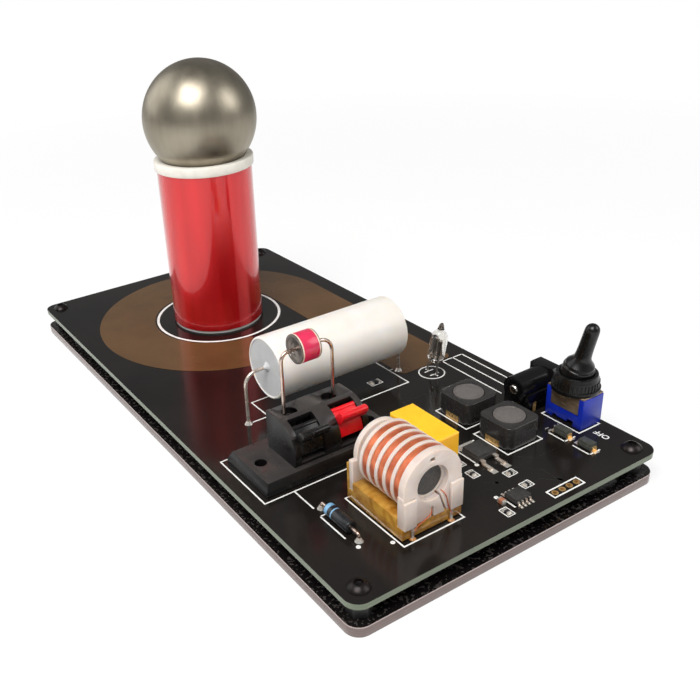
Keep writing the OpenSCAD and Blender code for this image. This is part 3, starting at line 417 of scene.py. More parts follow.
class Bench:
    """Operators that are used on the pieces, as by hand at a bench."""

    @staticmethod
    def clear() -> None:
        """Leaves edit mode and deselects everything."""
        if bpy.context.object is not None and bpy.context.object.mode != "OBJECT":
            bpy.ops.object.mode_set(mode="OBJECT")
        bpy.ops.object.select_all(action="DESELECT")

    @staticmethod
    def pick(piece: bpy.types.Object) -> None:
        """Selects one piece alone."""
        Bench.clear()
        piece.select_set(True)
        bpy.context.view_layer.objects.active = piece

    @staticmethod
    def start(name: str) -> bpy.types.Object:
        """Starts an empty mesh piece at the origin and opens it for editing."""
        Bench.clear()
        piece = bpy.data.objects.new(name, bpy.data.meshes.new(name))
        bpy.context.scene.collection.objects.link(piece)
        Bench.pick(piece)
        bpy.ops.object.mode_set(mode="EDIT")
        return piece

    @staticmethod
    def modify(piece: bpy.types.Object, kind: str, **settings: object) -> None:
        """Adds a modifier and applies it.

        Args:
            piece: The piece.
            kind: The modifier's type.
            **settings: Its settings.
        """
        Bench.pick(piece)
        modifier = piece.modifiers.new(kind.lower(), kind)
        for key, setting in settings.items():
            setattr(modifier, key, setting)
        bpy.ops.object.modifier_apply(modifier=modifier.name)

    @staticmethod
    def bevel(piece: bpy.types.Object, width_mm: float, segments: int) -> None:
        """Rounds a piece's sharp edges.

        Args:
            piece: The piece.
            width_mm: Width of the rounding.
            segments: Faces across it.
        """
        Bench.modify(
            piece,
            "BEVEL",
            width=width_mm * MM,
            segments=segments,
            limit_method="ANGLE",
            angle_limit=math.radians(BEVEL_ANGLE),
        )

    @staticmethod
    def smooth(piece: bpy.types.Object, angle: float = SMOOTH_ANGLE) -> None:
        """Shades a piece smooth up to an angle in degrees."""
        Bench.pick(piece)
        bpy.ops.object.shade_smooth_by_angle(angle=math.radians(angle))
    @staticmethod
    def ring(radius_mm: float, z_mm: float, segments: int) -> None:
        """Adds a bare circle to the open mesh, selected alone."""
        bpy.ops.mesh.select_all(action="DESELECT")
        bpy.ops.mesh.primitive_circle_add(
            vertices=segments, radius=radius_mm * MM, fill_type="NOTHING", location=(0.0, 0.0, z_mm * MM)
        )

    @staticmethod
    def next_ring(radius_mm: float, z_mm: float, last: Pair) -> None:
        """Extrudes the selected circle to another radius and height.

        Args:
            radius_mm: The new radius.
            z_mm: The new height.
            last: Radius and height of the selected circle.
        """
        lift = (0.0, 0.0, (z_mm - last[1]) * MM)
        bpy.ops.mesh.extrude_region_move(TRANSFORM_OT_translate={"value": lift})
        share = radius_mm / last[0]
        bpy.ops.transform.resize(value=(share, share, 1.0), center_override=(0.0, 0.0, z_mm * MM))

    @staticmethod
    def turned(
        name: str, profile: Sequence[Pair], place: Matrix, segments: int = 48, closed: bool = False
    ) -> bpy.types.Object:
        """Turns a piece on a lathe.

        Args:
            name: The piece's name.
            profile: (radius, height) pairs in millimetres, from end to end. A radius of nought closes an end.
            place: Where the piece's axis system lies.
            segments: Faces round the axis.
            closed: Whether the last pair joins the first, as in a tube.

        Returns:
            The piece, with its place in its mesh.
        """
        piece = Bench.start(name)
        points = [(max(radius, TINY_MM), z) for radius, z in profile]
        if closed:
            points.append(points[0])
        Bench.ring(*points[0], segments)
        for last, point in zip(points, points[1:]):
            Bench.next_ring(*point, last)
        bpy.ops.mesh.select_all(action="SELECT")
        bpy.ops.mesh.remove_doubles(threshold=TINY_MM * 1.5 * MM)
        bpy.ops.mesh.normals_make_consistent(inside=False)
        bpy.ops.object.mode_set(mode="OBJECT")
        piece.data.transform(place)
        Bench.smooth(piece)
        return piece

    @staticmethod
    def slab(low: Triple, high: Triple) -> None:
        """Adds a box between two corners, in millimetres on the board, to the open mesh."""
        bpy.ops.mesh.select_all(action="DESELECT")
        a, b = at(*low), at(*high)
        bpy.ops.mesh.primitive_cube_add(size=1.0, location=(a + b) / 2)
        bpy.ops.transform.resize(value=b - a, center_override=(a + b) / 2)

    @staticmethod
    def wire(name: str, route: Sequence[Triple], radius_mm: float) -> bpy.types.Object:
        """Draws a bent wire through points on the board.

        Args:
            name: The piece's name.
            route: Points in millimetres on the board.
            radius_mm: The wire's radius.

        Returns:
            The wire as a mesh.
        """
        curve = bpy.data.curves.new(name, "CURVE")
        curve.dimensions = "3D"
        curve.resolution_u = WIRE_STEPS
        curve.bevel_depth = radius_mm * MM
        curve.bevel_resolution = WIRE_ROUNDING
        curve.use_fill_caps = True
        spline = curve.splines.new("BEZIER")
        spline.bezier_points.add(len(route) - 1)
        for knot, spot in zip(spline.bezier_points, route):
            knot.co = at(*spot)
            knot.handle_left_type = knot.handle_right_type = "AUTO"
        piece = bpy.data.objects.new(name, curve)
        bpy.context.scene.collection.objects.link(piece)
        Bench.pick(piece)
        bpy.ops.object.convert(target="MESH")
        bpy.ops.object.shade_smooth()
        return bpy.context.object

    @staticmethod
    def edged_copy(node: str, width_mm: float, segments: int) -> bpy.types.Object:
        """Copies a CAD node and rounds the copy's sharp edges, as a mould or a file leaves them.

        Args:
            node: The CAD node that the copy stands for.
            width_mm: Width of the rounding.
            segments: Faces across it.

        Returns:
            The copy, which replaces the node.
        """
        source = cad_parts[node]
        piece = source.copy()
        piece.data = source.data.copy()
        piece.name = f"{node}_edged"
        for key in list(piece.keys()):
            del piece[key]
        bpy.context.scene.collection.objects.link(piece)
        piece.parent = None
        Bench.pick(piece)
        bpy.ops.mesh.customdata_custom_splitnormals_clear()
        bpy.ops.object.mode_set(mode="EDIT")
        bpy.ops.mesh.select_all(action="SELECT")
        bpy.ops.mesh.remove_doubles(threshold=1e-6)
        bpy.ops.mesh.dissolve_limited(angle_limit=math.radians(FLAT_ANGLE))
        bpy.ops.object.mode_set(mode="OBJECT")
        Bench.bevel(piece, width_mm, segments)
        Bench.smooth(piece)
        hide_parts(node)
        return piece


def dress(piece: bpy.types.Object, finish: Finish) -> None:
    """Gives a piece one finish all over."""
    piece.data.materials.clear()
    piece.data.materials.append(finish.material())


def fit(piece: bpy.types.Object, finish: Finish, body: str = "board") -> bpy.types.Object:
    """Dresses a new piece and lets it ride on a body.

    Args:
        piece: The piece.
        finish: Its finish.
        body: The body that it rides on.

    Returns:
        The piece.
    """
    dress(piece, finish)
    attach(piece, body)
    log.info("made %s with %d faces on %s", piece.name, len(piece.data.polygons), body)
    return piece


def finish_node(
    node: str, finish: Finish, width_mm: float = 0.0, body: str = "board", segments: int = 2
) -> None:
    """Dresses a CAD node, as it is or in an edged copy.

    Args:
        node: The node.
        finish: Its finish.
        width_mm: Width of rounding of the edged copy that replaces it. With nought, its shape stays as it is.
        body: The body that an edged copy rides on.
        segments: Faces across the rounding.
    """
    if width_mm:
        fit(Bench.edged_copy(node, width_mm, segments), finish, body)
    else:
        dress(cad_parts[node], finish)
        log.info("dressed %s as %s", node, finish.name)


def finish_nodes(*rows: Sequence[object]) -> None:
    """Dresses CAD nodes in order, each by a row of what finish_node takes."""
    for row in rows:
        finish_node(*row)


# ---- The finishes of this object ----

CLEAR_PLATE = SpeckledSheet(
    "tinted_acrylic", (16, 14, 14), (26, 23, 22), roughness=0.12, spread=0.04, blotch_mm=20.0,
    edge=(122, 105, 101), edge_tint=(92, 79, 76), rim=(168, 152, 148), rim_z=2.65, speck=(70, 66, 64),
    speck_mm=0.9, grain=0.03,
)  # fmt: skip
BOARD_MASK = EdgedFinish(
    "black_solder_mask", (19, 17, 16), (34, 30, 27), roughness=0.16, spread=0.05, blotch_mm=30.0, blotch=0.6,
    grain_mm=1.2, grain=0.06, ior=1.38, edge=(112, 120, 100), edge_tint=(88, 98, 84),
)  # fmt: skip
MASKED_COPPER = Finish(
    "masked_copper", (96, 70, 42), (76, 53, 30), roughness=0.24, spread=0.08, blotch_mm=12.0, grain_mm=0.8,
    grain=0.1, metallic=0.1, coat=0.2, ior=1.38,
)  # fmt: skip
INK = Finish(
    "white_ink", (235, 234, 230), (196, 194, 190), roughness=0.55, blotch_mm=1.5, grain_mm=0.12, grain=0.2
)
BLACK_OXIDE = Finish(
    "black_oxide", (34, 32, 32), (62, 54, 52), roughness=0.34, metallic=0.85, blotch_mm=1.5, grain_mm=0.2
)
BLACK_NYLON = Finish("black_nylon", (22, 21, 21), (34, 33, 32), roughness=0.5, blotch_mm=2.0)
PALE_TUBE = Finish("pale_tube", (214, 212, 208), (190, 188, 184), roughness=0.5, blotch_mm=4.0)
# The red wire's colour blotches, stretched twelvefold upright, are painted highlight and shade streaks; its
# turns carry painted shade between them.
RED_WIRE = Wound(
    "red_wire", (222, 28, 32), (148, 12, 16), roughness=0.22, spread=0.07, blotch_mm=5.0, blotch=0.45,
    metallic=0.5, coat=0.8, grain=0.12, relief_mm=0.03, stretch=(1.0, 1.0, 12.0), pitch_mm=0.2, shade=0.2,
)  # fmt: skip
COLLAR_PLASTIC = Finish("collar_plastic", (236, 232, 222), (216, 209, 196), blotch_mm=3.0)
# The ball's colour blotches, stretched upright, are partly its brushed grain and partly painted streak
# reflections.
BALL_STEEL = Finish(
    "satin_ball", (160, 152, 136), (126, 118, 104), roughness=0.38, spread=0.08, blotch_mm=5.0, metallic=1.0,
    grain_mm=0.5, grain=0.08, stretch=(1.0, 1.0, 6.0),
)  # fmt: skip
CAPACITOR_WRAP = Finish(
    "capacitor_wrap", (230, 226, 220), (218, 211, 202), roughness=0.34, blotch_mm=9.0, grain_mm=1.4,
    grain=0.1, depth=0.3,
)  # fmt: skip
CAPACITOR_FILL = Finish(
    "capacitor_fill", (196, 196, 196), (172, 172, 174), roughness=0.42, blotch_mm=5.0, grain_mm=0.6,
    grain=0.2, coat=0.3,
)  # fmt: skip
TINNED = Finish(
    "tinned_copper", (218, 210, 200), (180, 150, 128), roughness=0.26, metallic=0.7, blotch_mm=2.5,
    blotch=0.7, grain_mm=0.3, grain=0.1,
)  # fmt: skip
COPPERY_LEAD = Finish(
    "coppery_lead", (214, 198, 188), (190, 158, 140), roughness=0.26, metallic=1.0, blotch_mm=4.0, blotch=0.6
)
# Black terminal moulding: its level tops are painted lighter grey as sheen, and its upright faces stay near
# black.
TERMINAL_MOULDING_PAINTED_SHEEN = EdgedFinish(
    "grey_moulding", (48, 45, 44), (66, 61, 58), roughness=0.3, blotch_mm=5.0, grain_mm=0.22, grain=0.2,
    ior=1.4, edge=(13, 12, 12), edge_tint=(25, 23, 22),
)  # fmt: skip
BLACK_LEVER = Finish(
    "black_lever_moulding", (16, 15, 15), (36, 34, 33), roughness=0.26, blotch_mm=2.0, ior=1.4
)
RED_LEVER = Finish(
    "red_lever_moulding", (226, 20, 34), (196, 8, 24), roughness=0.36, blotch_mm=3.0, depth=0.3
)
SPRING_STEEL = Finish("spring_steel", (186, 184, 180), (150, 148, 144), roughness=0.3, metallic=1.0)
GAP_GLAZE = Banded(
    "gap_glaze", (214, 44, 84), (178, 26, 64), roughness=0.3, blotch_mm=4.0, coat=0.3, along=Axis.Y,
    bands=((-26.0, -25.4), (-20.7, -20.0)), band=(226, 206, 184),
)  # fmt: skip
GAP_CAP = Ringed(
    "pressed_cap", (122, 114, 108), (92, 84, 78), roughness=0.32, metallic=1.0, blotch_mm=2.0, grain=0.25,
    centre=(43.2, 0.0, 41.0),
)  # fmt: skip
MILKY_NYLON = Finish(
    "milky_nylon", (224, 210, 201), (208, 190, 179), roughness=0.32, blotch_mm=4.0, grain_mm=0.9, grain=0.04,
    clear=0.12, depth=0.8,
)  # fmt: skip
COPPER_WIRE = Wound(
    "fine_copper_wire", (222, 124, 82), (164, 74, 44), roughness=0.32, metallic=0.5, blotch_mm=3.0,
    blotch=0.7, grain=0.25, relief_mm=0.03, along=Axis.X, pitch_mm=0.13, shade=0.4,
)  # fmt: skip
FERRITE = Finish("ferrite_core", (62, 60, 58), (84, 80, 76), roughness=0.62, blotch_mm=0.8, grain=0.4)
AMBER_RESIN = Finish(
    "amber_resin", (236, 182, 80), (178, 116, 34), roughness=0.1, spread=0.04, blotch_mm=2.4, blotch=1.0,
    grain_mm=1.6, grain=0.6, relief_mm=0.15, clear=0.45, coat=0.5,
)  # fmt: skip
YELLOW_CASE = Finish(
    "yellow_case", (250, 192, 36), (242, 178, 22), roughness=0.36, blotch_mm=7.0, grain_mm=0.5, depth=0.4
)
PRESSED_FERRITE = Finish(
    "pressed_ferrite", (44, 42, 41), (30, 29, 28), roughness=0.24, blotch_mm=1.6, grain_mm=0.3, grain=0.1
)
PALE_FERRITE = Finish("pale_ferrite", (100, 95, 92), (80, 76, 73), roughness=0.44, blotch_mm=1.2, grain=0.3)
GOLD_TONE = Finish("gold_tone", (224, 184, 120), (182, 132, 74), roughness=0.26, metallic=0.7, blotch_mm=1.5)
LAMP_GLASS = Banded(
    "lamp_glass", (246, 245, 242), (238, 236, 232), roughness=0.04, spread=0.02, clear=1.0, ior=1.47,
    grain_mm=2.0, grain=0.05, along=Axis.Z, bands=((26.2, 30.0),), band=(112, 102, 94),
)  # fmt: skip
LAMP_METAL = Finish(
    "lamp_metal", (176, 170, 164), (130, 120, 112), roughness=0.35, metallic=1.0, blotch_mm=1.0
)
BLACK_MOULDING = Finish(
    "black_moulding", (9, 9, 10), (20, 18, 17), roughness=0.2, spread=0.06, blotch_mm=5.0, grain_mm=0.35,
    grain=0.12, ior=1.42,
)  # fmt: skip
RIVET = Finish("bright_rivet", (226, 222, 216), (184, 176, 168), roughness=0.2, metallic=1.0, blotch_mm=0.8)
BLUE_MOULDING = Finish(
    "blue_moulding", (12, 42, 168), (8, 28, 122), roughness=0.34, blotch_mm=4.0, grain_mm=0.4, grain=0.12
)
DULL_NICKEL = Finish(
    "dull_nickel", (168, 146, 120), (112, 94, 76), roughness=0.38, metallic=0.7, blotch_mm=5.0, blotch=0.9,
    grain_mm=0.5, grain=0.12, stretch=(1.0, 1.0, 0.3),
)  # fmt: skip
RUBBER = Finish(
    "black_rubber", (8, 8, 8), (17, 16, 15), roughness=0.28, spread=0.08, blotch_mm=3.0, grain=0.12, ior=1.42
)
EPOXY = Finish(
    "chip_epoxy", (46, 45, 44), (66, 62, 58), roughness=0.46, blotch_mm=0.8, grain_mm=0.15, grain=0.3
)
GLASS_DIODE = Finish("diode_epoxy", (54, 56, 52), (78, 78, 70), roughness=0.36, blotch_mm=0.8, grain_mm=0.2)
HV_DIODE = Banded(
    "diode_body", (24, 25, 28), (38, 40, 44), roughness=0.3, blotch_mm=1.5,
    bands=((70.8, 72.0), (73.3, 73.7)), band=(122, 170, 206), ragged=0.8,
)  # fmt: skip
TAN_CERAMIC = Finish("tan_ceramic", (168, 108, 80), (146, 88, 62), roughness=0.5, blotch_mm=0.5, grain_mm=0.1)
CHIP_GLAZE = Finish("chip_glaze", (30, 30, 33), (48, 46, 48), roughness=0.3, blotch_mm=0.4, grain_mm=0.1)
SOLDER = Finish(
    "bright_solder", (226, 222, 214), (184, 176, 166), roughness=0.24, metallic=0.65, blotch_mm=1.0
)
FLUX = Finish(
    "amber_flux", (196, 134, 64), (150, 92, 36), roughness=0.14, blotch_mm=0.8, clear=0.3, grain_mm=0.6
)


# ---- Sub-assemblies ----


@dataclass
class BaseAndBoard:
    """Clear plate, standoffs, screws and the circuit board with its printed lines.

    Boxes and lines run from (x0, y0) to (x1, y1), and a bracket is a centre with its reach along x and y.
    """
    ink_w: float = 0.42
    ink_t: float = 0.03
    ink_over: float = 1.1
    boxes: tuple[Quad, ...] = (
        (112.6, 26.8, 131.9, 71.8), (134.6, 3.9, 157.6, 51.6), (149.7, 67.1, 162.3, 79.9),
        (165.3, 67.1, 178.1, 79.9), (167.7, 21.4, 190.6, 39.9), (159.4, 40.8, 179.2, 49.6),
        (168.9, 89.7, 182.2, 97.9), (195.3, 62.7, 198.1, 73.2),
    )  # fmt: skip
    lines: tuple[Quad, ...] = (
        (122.4, 21.6, 122.4, 26.8), (122.4, 71.8, 122.4, 73.4), (128.2, 97.1, 153.8, 97.1),
        (128.2, 93.2, 153.8, 93.2), (128.2, 88.9, 153.8, 88.9), (158.0, 12.7, 166.2, 12.7),
        (169.9, 12.2, 169.9, 17.0), (169.9, 12.2, 180.1, 12.2), (167.6, 57.7, 167.6, 64.8),
        (167.6, 57.7, 175.6, 57.7), (190.6, 52.3, 194.9, 52.3), (177.2, 83.6, 182.6, 83.6),
        (182.6, 83.6, 182.6, 87.4), (185.3, 83.8, 190.7, 83.8), (190.7, 83.8, 190.7, 87.6),
        (130.3, 79.9, 130.3, 82.9), (132.9, 79.9, 132.9, 82.9), (130.3, 81.4, 128.9, 81.4),
        (132.9, 81.4, 134.3, 81.4), (128.2, 88.9, 128.2, 97.1),
    )  # fmt: skip
    brackets: tuple[Quad, ...] = (
        (178.9, 53.7, 1.6, 1.15), (173.3, 54.2, 1.6, 1.15), (195.2, 49.4, 1.6, 1.15),
        (184.2, 61.6, 1.15, 1.6), (190.1, 61.3, 1.15, 1.6), (125.7, 63.6, 1.4, 2.1),
    )  # fmt: skip
    bracket_w: float = 0.25
    rings: tuple[tuple[str, Pair, float, float], ...] = (
        ("printed_tower_ring", (50.0, 50.0), 22.33, 0.9),
        ("printed_lamp_ring", (131.6, 81.4), 4.0, 0.42),
    )
    dots: tuple[Pair, ...] = ((184.4, 12.9), (176.6, 57.4), (189.6, 51.4), (187.8, 20.3))
    dot: Pair = (0.35, 0.5)
    word_at: Pair = (186.4, 94.6)
    word_h: float = 2.6
    word_bold: float = 0.03
    track_w: float = 0.8
    track_lap: float = 0.6
    track_t: float = 0.016
    track_rise: float = 0.004

    def build(self) -> None:
        """Dresses the plate, the board and their fasteners, and prints the board."""
        finish_nodes(
            ("base_plate", CLEAR_PLATE, 0.25),
            ("base_screws", BLACK_OXIDE),
            ("standoffs", BLACK_NYLON, 0.15),
            ("board_screws", BLACK_OXIDE, 0.1),
            ("circuit_board", BOARD_MASK),
            ("primary_loop", MASKED_COPPER),
            ("header_sleeves", GOLD_TONE),
            ("solder_joints", SOLDER),
        )
        self.print_lines()
        self.print_rings()
        self.print_switch_word()
        self.lay_tracks()

    def print_lines(self) -> None:
        """Prints the outlines of the parts and the other straight lines."""
        piece = Bench.start("printed_lines")
        half, w, over_t = self.ink_w / 2, self.bracket_w / 2, self.ink_t * self.ink_over
        for x0, y0, x1, y1 in self.boxes:
            for low, high in (
                ((x0, y0), (x1, y0)),
                ((x0, y1), (x1, y1)),
                ((x0, y0 + self.ink_w), (x0, y1 - self.ink_w)),
                ((x1, y0 + self.ink_w), (x1, y1 - self.ink_w)),
            ):
                Bench.slab((low[0] - half, low[1] - half, 0.0), (high[0] + half, high[1] + half, self.ink_t))
        for x0, y0, x1, y1 in self.lines:
            low, high = (min(x0, x1) - half, min(y0, y1) - half), (max(x0, x1) + half, max(y0, y1) + half)
            Bench.slab((*low, 0.0), (*high, over_t))
        for x, y, reach_x, reach_y in self.brackets:
            for side in (-1, 1):
                edge_x, edge_y = x + side * reach_x, y + side * reach_y
                Bench.slab((edge_x - w, y - reach_y, 0.0), (edge_x + w, y + reach_y, self.ink_t))
                Bench.slab((x - reach_x, edge_y - w, 0.0), (x + reach_x, edge_y + w, over_t))
        Bench.clear()
        fit(piece, INK)

    def print_rings(self) -> None:
        """Prints the ring round the tower, the lamp's circle and the small dots."""
        dots = ((f"printed_dot_{i}", spot, *self.dot) for i, spot in enumerate(self.dots))
        for name, spot, radius, width in (*self.rings, *dots):
            inner, outer = radius - width / 2, radius + width / 2
            profile = [(inner, 0.0), (outer, 0.0), (outer, self.ink_t), (inner, self.ink_t)]
            fit(Bench.turned(name, profile, stand(*spot), 96 if radius > 10 else 24, closed=True), INK)

    def print_switch_word(self) -> None:
        """Prints the word OFF by the switch, to be read from the board's rear edge."""
        Bench.clear()
        bpy.ops.object.text_add(location=(0.0, 0.0, 0.0))
        word = bpy.context.object
        word.name = "printed_off"
        word.data.body = "OFF"
        word.data.size = self.word_h * MM
        word.data.offset = self.word_bold * MM
        word.data.extrude = self.ink_t * MM / 2
        word.data.align_x = "CENTER"
        Bench.pick(word)
        bpy.ops.object.convert(target="MESH")
        word = bpy.context.object
        word.data.transform(stand(*self.word_at, self.ink_t, 180.0))
        fit(word, INK)

    def lay_tracks(self) -> None:
        """Lays the board's covered tracks, which show only as a low relief under the black mask."""
        routes = (
            ((184.2, 60.4), (184.2, 57.0), (189.6, 51.6)),
            ((190.1, 60.1), (192.8, 58.6)),
            ((176.9, 53.7), (183.0, 53.7), (186.0, 56.7), (190.0, 56.7)),
            ((162.3, 62.0), (166.5, 62.0)),
            ((156.0, 66.0), (156.0, 55.0), (161.5, 49.6)),
            ((171.7, 80.5), (171.7, 89.0)),
            ((181.4, 63.2), (188.0, 69.5), (194.5, 69.5)),
            ((140.0, 60.0), (140.0, 78.0), (148.0, 86.0), (156.5, 86.0)),
            ((190.1, 62.6), (190.1, 66.0), (194.8, 70.6)),
            ((183.0, 79.0), (183.0, 72.0), (177.0, 66.0)),
        )
        piece = Bench.start("masked_tracks")
        for route in routes:
            for step, (start, end) in enumerate(zip(route, route[1:])):
                self._lay_track(Vector(start), Vector(end), self.track_t + self.track_rise * step)
        Bench.clear()
        fit(piece, BOARD_MASK)

    def _lay_track(self, start: Vector, end: Vector, height: float) -> None:
        """Adds a straight stretch of track to the open mesh.

        Args:
            start: Where it starts, in millimetres on the board.
            end: Where it ends.
            height: Its thickness, which differs at a joint so that no two tops coincide.
        """
        middle, run = (start + end) / 2, end - start
        size = Vector((run.length + self.track_lap, self.track_w, height)) * MM
        turn = (0.0, 0.0, math.atan2(run.y, run.x))
        bpy.ops.mesh.select_all(action="DESELECT")
        spot = at(middle.x, middle.y, height / 2)
        bpy.ops.mesh.primitive_cube_add(size=1.0, location=spot, rotation=turn, scale=size)


@dataclass
class CoilTower:
    """Former, red winding, collar and ball."""

    def build(self) -> None:
        """Dresses the tower."""
        finish_nodes(
            ("coil_former", PALE_TUBE),
            ("secondary_winding", RED_WIRE),
            ("top_collar", COLLAR_PLASTIC, 0.3),
            ("discharge_ball", BALL_STEEL),
        )


@dataclass
class TankCapacitor:
    """Wrapped capacitor on its two bent leads."""

    centre: Pair = (122.4, 49.3)
    axis_z: float = 16.0
    radius: float = 9.4
    length: float = 44.8
    wrap: float = 0.7
    roll: float = 0.6
    fill_dip: float = 0.6
    lead_z: float = 16.3
    rear_dx: float = 1.7

    def build(self) -> None:
        """Turns the wrap with its rolled ends and the cones at the leads, and dresses the rest."""
        half, roll = self.length / 2, self.roll
        inner, face = self.radius - self.wrap, half - self.fill_dip
        turns = [math.radians(a) for a in (90, 67, 45, 22, 0)]
        bend = [(self.radius - roll + roll * math.cos(a), half - roll + roll * math.sin(a)) for a in turns]
        lip = [(inner - 0.05, half - 0.1), (inner - 0.1, face)]
        profile = [(r, -z) for r, z in bend] + bend[::-1] + lip + [(r, -z) for r, z in lip[::-1]]
        place = stand(*self.centre, self.axis_z, -90.0, "X")
        wrap = Bench.turned("capacitor_wrap", profile, place, 96, closed=True)
        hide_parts("tank_capacitor_wrap")
        fit(wrap, CAPACITOR_WRAP)
        cone = [(0.5, 0.0), (1.5, 0.0), (1.1, 0.35), (0.75, 0.7), (0.52, 1.3)]
        for side, dx in ((-1, 0.0), (1, self.rear_dx)):
            place = stand(self.centre[0] + dx, self.centre[1] + side * face, self.lead_z, -90.0 * side, "X")
            fit(Bench.turned(f"capacitor_lead_cone_{side + 1}", cone, place, 24, closed=True), CAPACITOR_FILL)
        finish_nodes(("tank_capacitor_core", CAPACITOR_FILL, 0.2), ("tank_capacitor_leads", TINNED))


@dataclass
class SpringTerminal:
    """Terminal block with its two levers and springs."""

    def build(self) -> None:
        """Dresses the block and its moving levers."""
        finish_nodes(
            ("terminal_block", TERMINAL_MOULDING_PAINTED_SHEEN, 0.22),
            ("terminal_springs", SPRING_STEEL),
            ("black_lever", BLACK_LEVER, 0.18, "black_lever"),
            ("red_lever", RED_LEVER, 0.18, "red_lever"),
        )


@dataclass
class SparkGap:
    """Spark gap tube on its two leads."""

    centre: Triple = (143.2, 26.95, 31.4)
    radius: float = 4.1
    glazed: float = 5.4

    def build(self) -> None:
        """Draws the glaze over the sides of both caps, and dresses the caps and the leads."""
        half, inner = self.glazed / 2, self.radius - 0.6
        end = [(inner, -half), (self.radius - 0.03, -half), (self.radius, 0.06 - half)]
        profile = end + [(r, -z) for r, z in end[::-1]]
        tube = Bench.turned("gap_tube", profile, stand(*self.centre, -90.0, "X"), 64, closed=True)
        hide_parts("spark_gap_tube")
        fit(tube, GAP_GLAZE, "spark_gap")
        finish_nodes(("spark_gap_caps", GAP_CAP, 0.12, "spark_gap"), ("spark_gap_leads", COPPERY_LEAD))


@dataclass
class IgnitionTransformer:
    """Bobbin with its wound sections, core, resin and the ends of its wire, which run from its flange."""

    flange_x: float = 189.2
    wire_ends: tuple[tuple[Triple, ...], ...] = (
        ((-0.2, 33.6, 9.9), (0.15, 34.6, 8.6), (0.15, 35.4, 6.4), (0.2, 35.9, 4.2), (0.65, 36.7, 2.0)),
        ((-0.5, 31.0, 6.0), (0.1, 30.6, 4.8), (0.2, 29.2, 3.9), (0.3, 26.4, 3.0), (0.6, 24.9, 2.3)),
    )
    wire_radius: float = 0.14
    pin_dx: float = 0.3
    pins_y: Pair = (24.8, 36.7)

    def build(self) -> None:
        """Dresses the transformer and adds the ends of its wire and the drops at its pins."""
        finish_nodes(
            ("coil_bobbin", MILKY_NYLON, 0.22),
            ("coil_windings", COPPER_WIRE, 0.2),
            ("coil_core", FERRITE, 0.2),
            ("coil_resin", AMBER_RESIN, 0.3),
            ("coil_pins", TINNED),
        )
        for i, steps in enumerate(self.wire_ends):
            route = [(self.flange_x + dx, y, z) for dx, y, z in steps]
            fit(Bench.wire(f"coil_wire_end_{i}", route, self.wire_radius), COPPER_WIRE)
        drop = [(0.4, 0.02), (0.9, 0.02), (0.78, 0.18), (0.55, 0.36), (0.42, 0.5)]
        for i, y in enumerate(self.pins_y):
            place = stand(self.flange_x + self.pin_dx, y)
            fit(Bench.turned(f"coil_pin_drop_{i}", drop, place, 24, closed=True), FLUX)


@dataclass
class Supply:
    """Box capacitor, inductors, neon lamp and power jack."""

    neon_foot: Triple = (133.0, 81.4, 5.0)
    neon_lean: float = 11.0

    def build(self) -> None:
        """Dresses the parts of the supply."""
        finish_nodes(
            ("box_capacitor", YELLOW_CASE, 0.55, "board", 3),
            ("box_capacitor_pins", TINNED),
            ("inductor_shells", PRESSED_FERRITE, 0.35, "board", 3),
            ("inductor_tops", PALE_FERRITE, 0.12),
            ("inductor_terminals", GOLD_TONE),
        )
        self.blow_lamp()
        finish_nodes(
            ("neon_electrodes", LAMP_METAL),
            ("jack_housing", BLACK_MOULDING, 0.2),
            ("jack_pin", RIVET, 0.12),
            ("jack_contacts", GOLD_TONE),
        )

    def blow_lamp(self) -> None:
        """Blows the lamp's glass, with its pressed foot and its drawn tip."""
        outer = [
            (0.0, 0.0), (1.6, 0.05), (2.3, 0.5), (2.62, 1.4), (2.65, 8.4), (2.5, 9.4), (2.05, 10.3),
            (1.45, 10.9), (1.1, 11.5), (0.9, 12.3), (0.72, 13.2), (0.45, 13.75), (0.0, 13.9),
        ]  # fmt: skip
        inner = [
            (0.0, 11.6), (0.6, 11.2), (1.2, 10.5), (1.75, 9.9), (2.1, 9.1), (2.2, 8.2), (2.2, 2.2),
            (1.6, 1.5), (0.0, 1.4),
        ]  # fmt: skip
        place = stand(*self.neon_foot, self.neon_lean, "Y")
        shell = Bench.turned("lamp_shell", outer, place)
        hollow = Bench.turned("lamp_hollow", inner, place)
        Bench.pick(hollow)
        bpy.ops.object.mode_set(mode="EDIT")
        bpy.ops.mesh.select_all(action="SELECT")
        bpy.ops.mesh.normals_make_consistent(inside=True)
        bpy.ops.object.mode_set(mode="OBJECT")
        shell.select_set(True)
        bpy.context.view_layer.objects.active = shell
        bpy.ops.object.join()
        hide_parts("neon_glass")
        fit(shell, LAMP_GLASS)


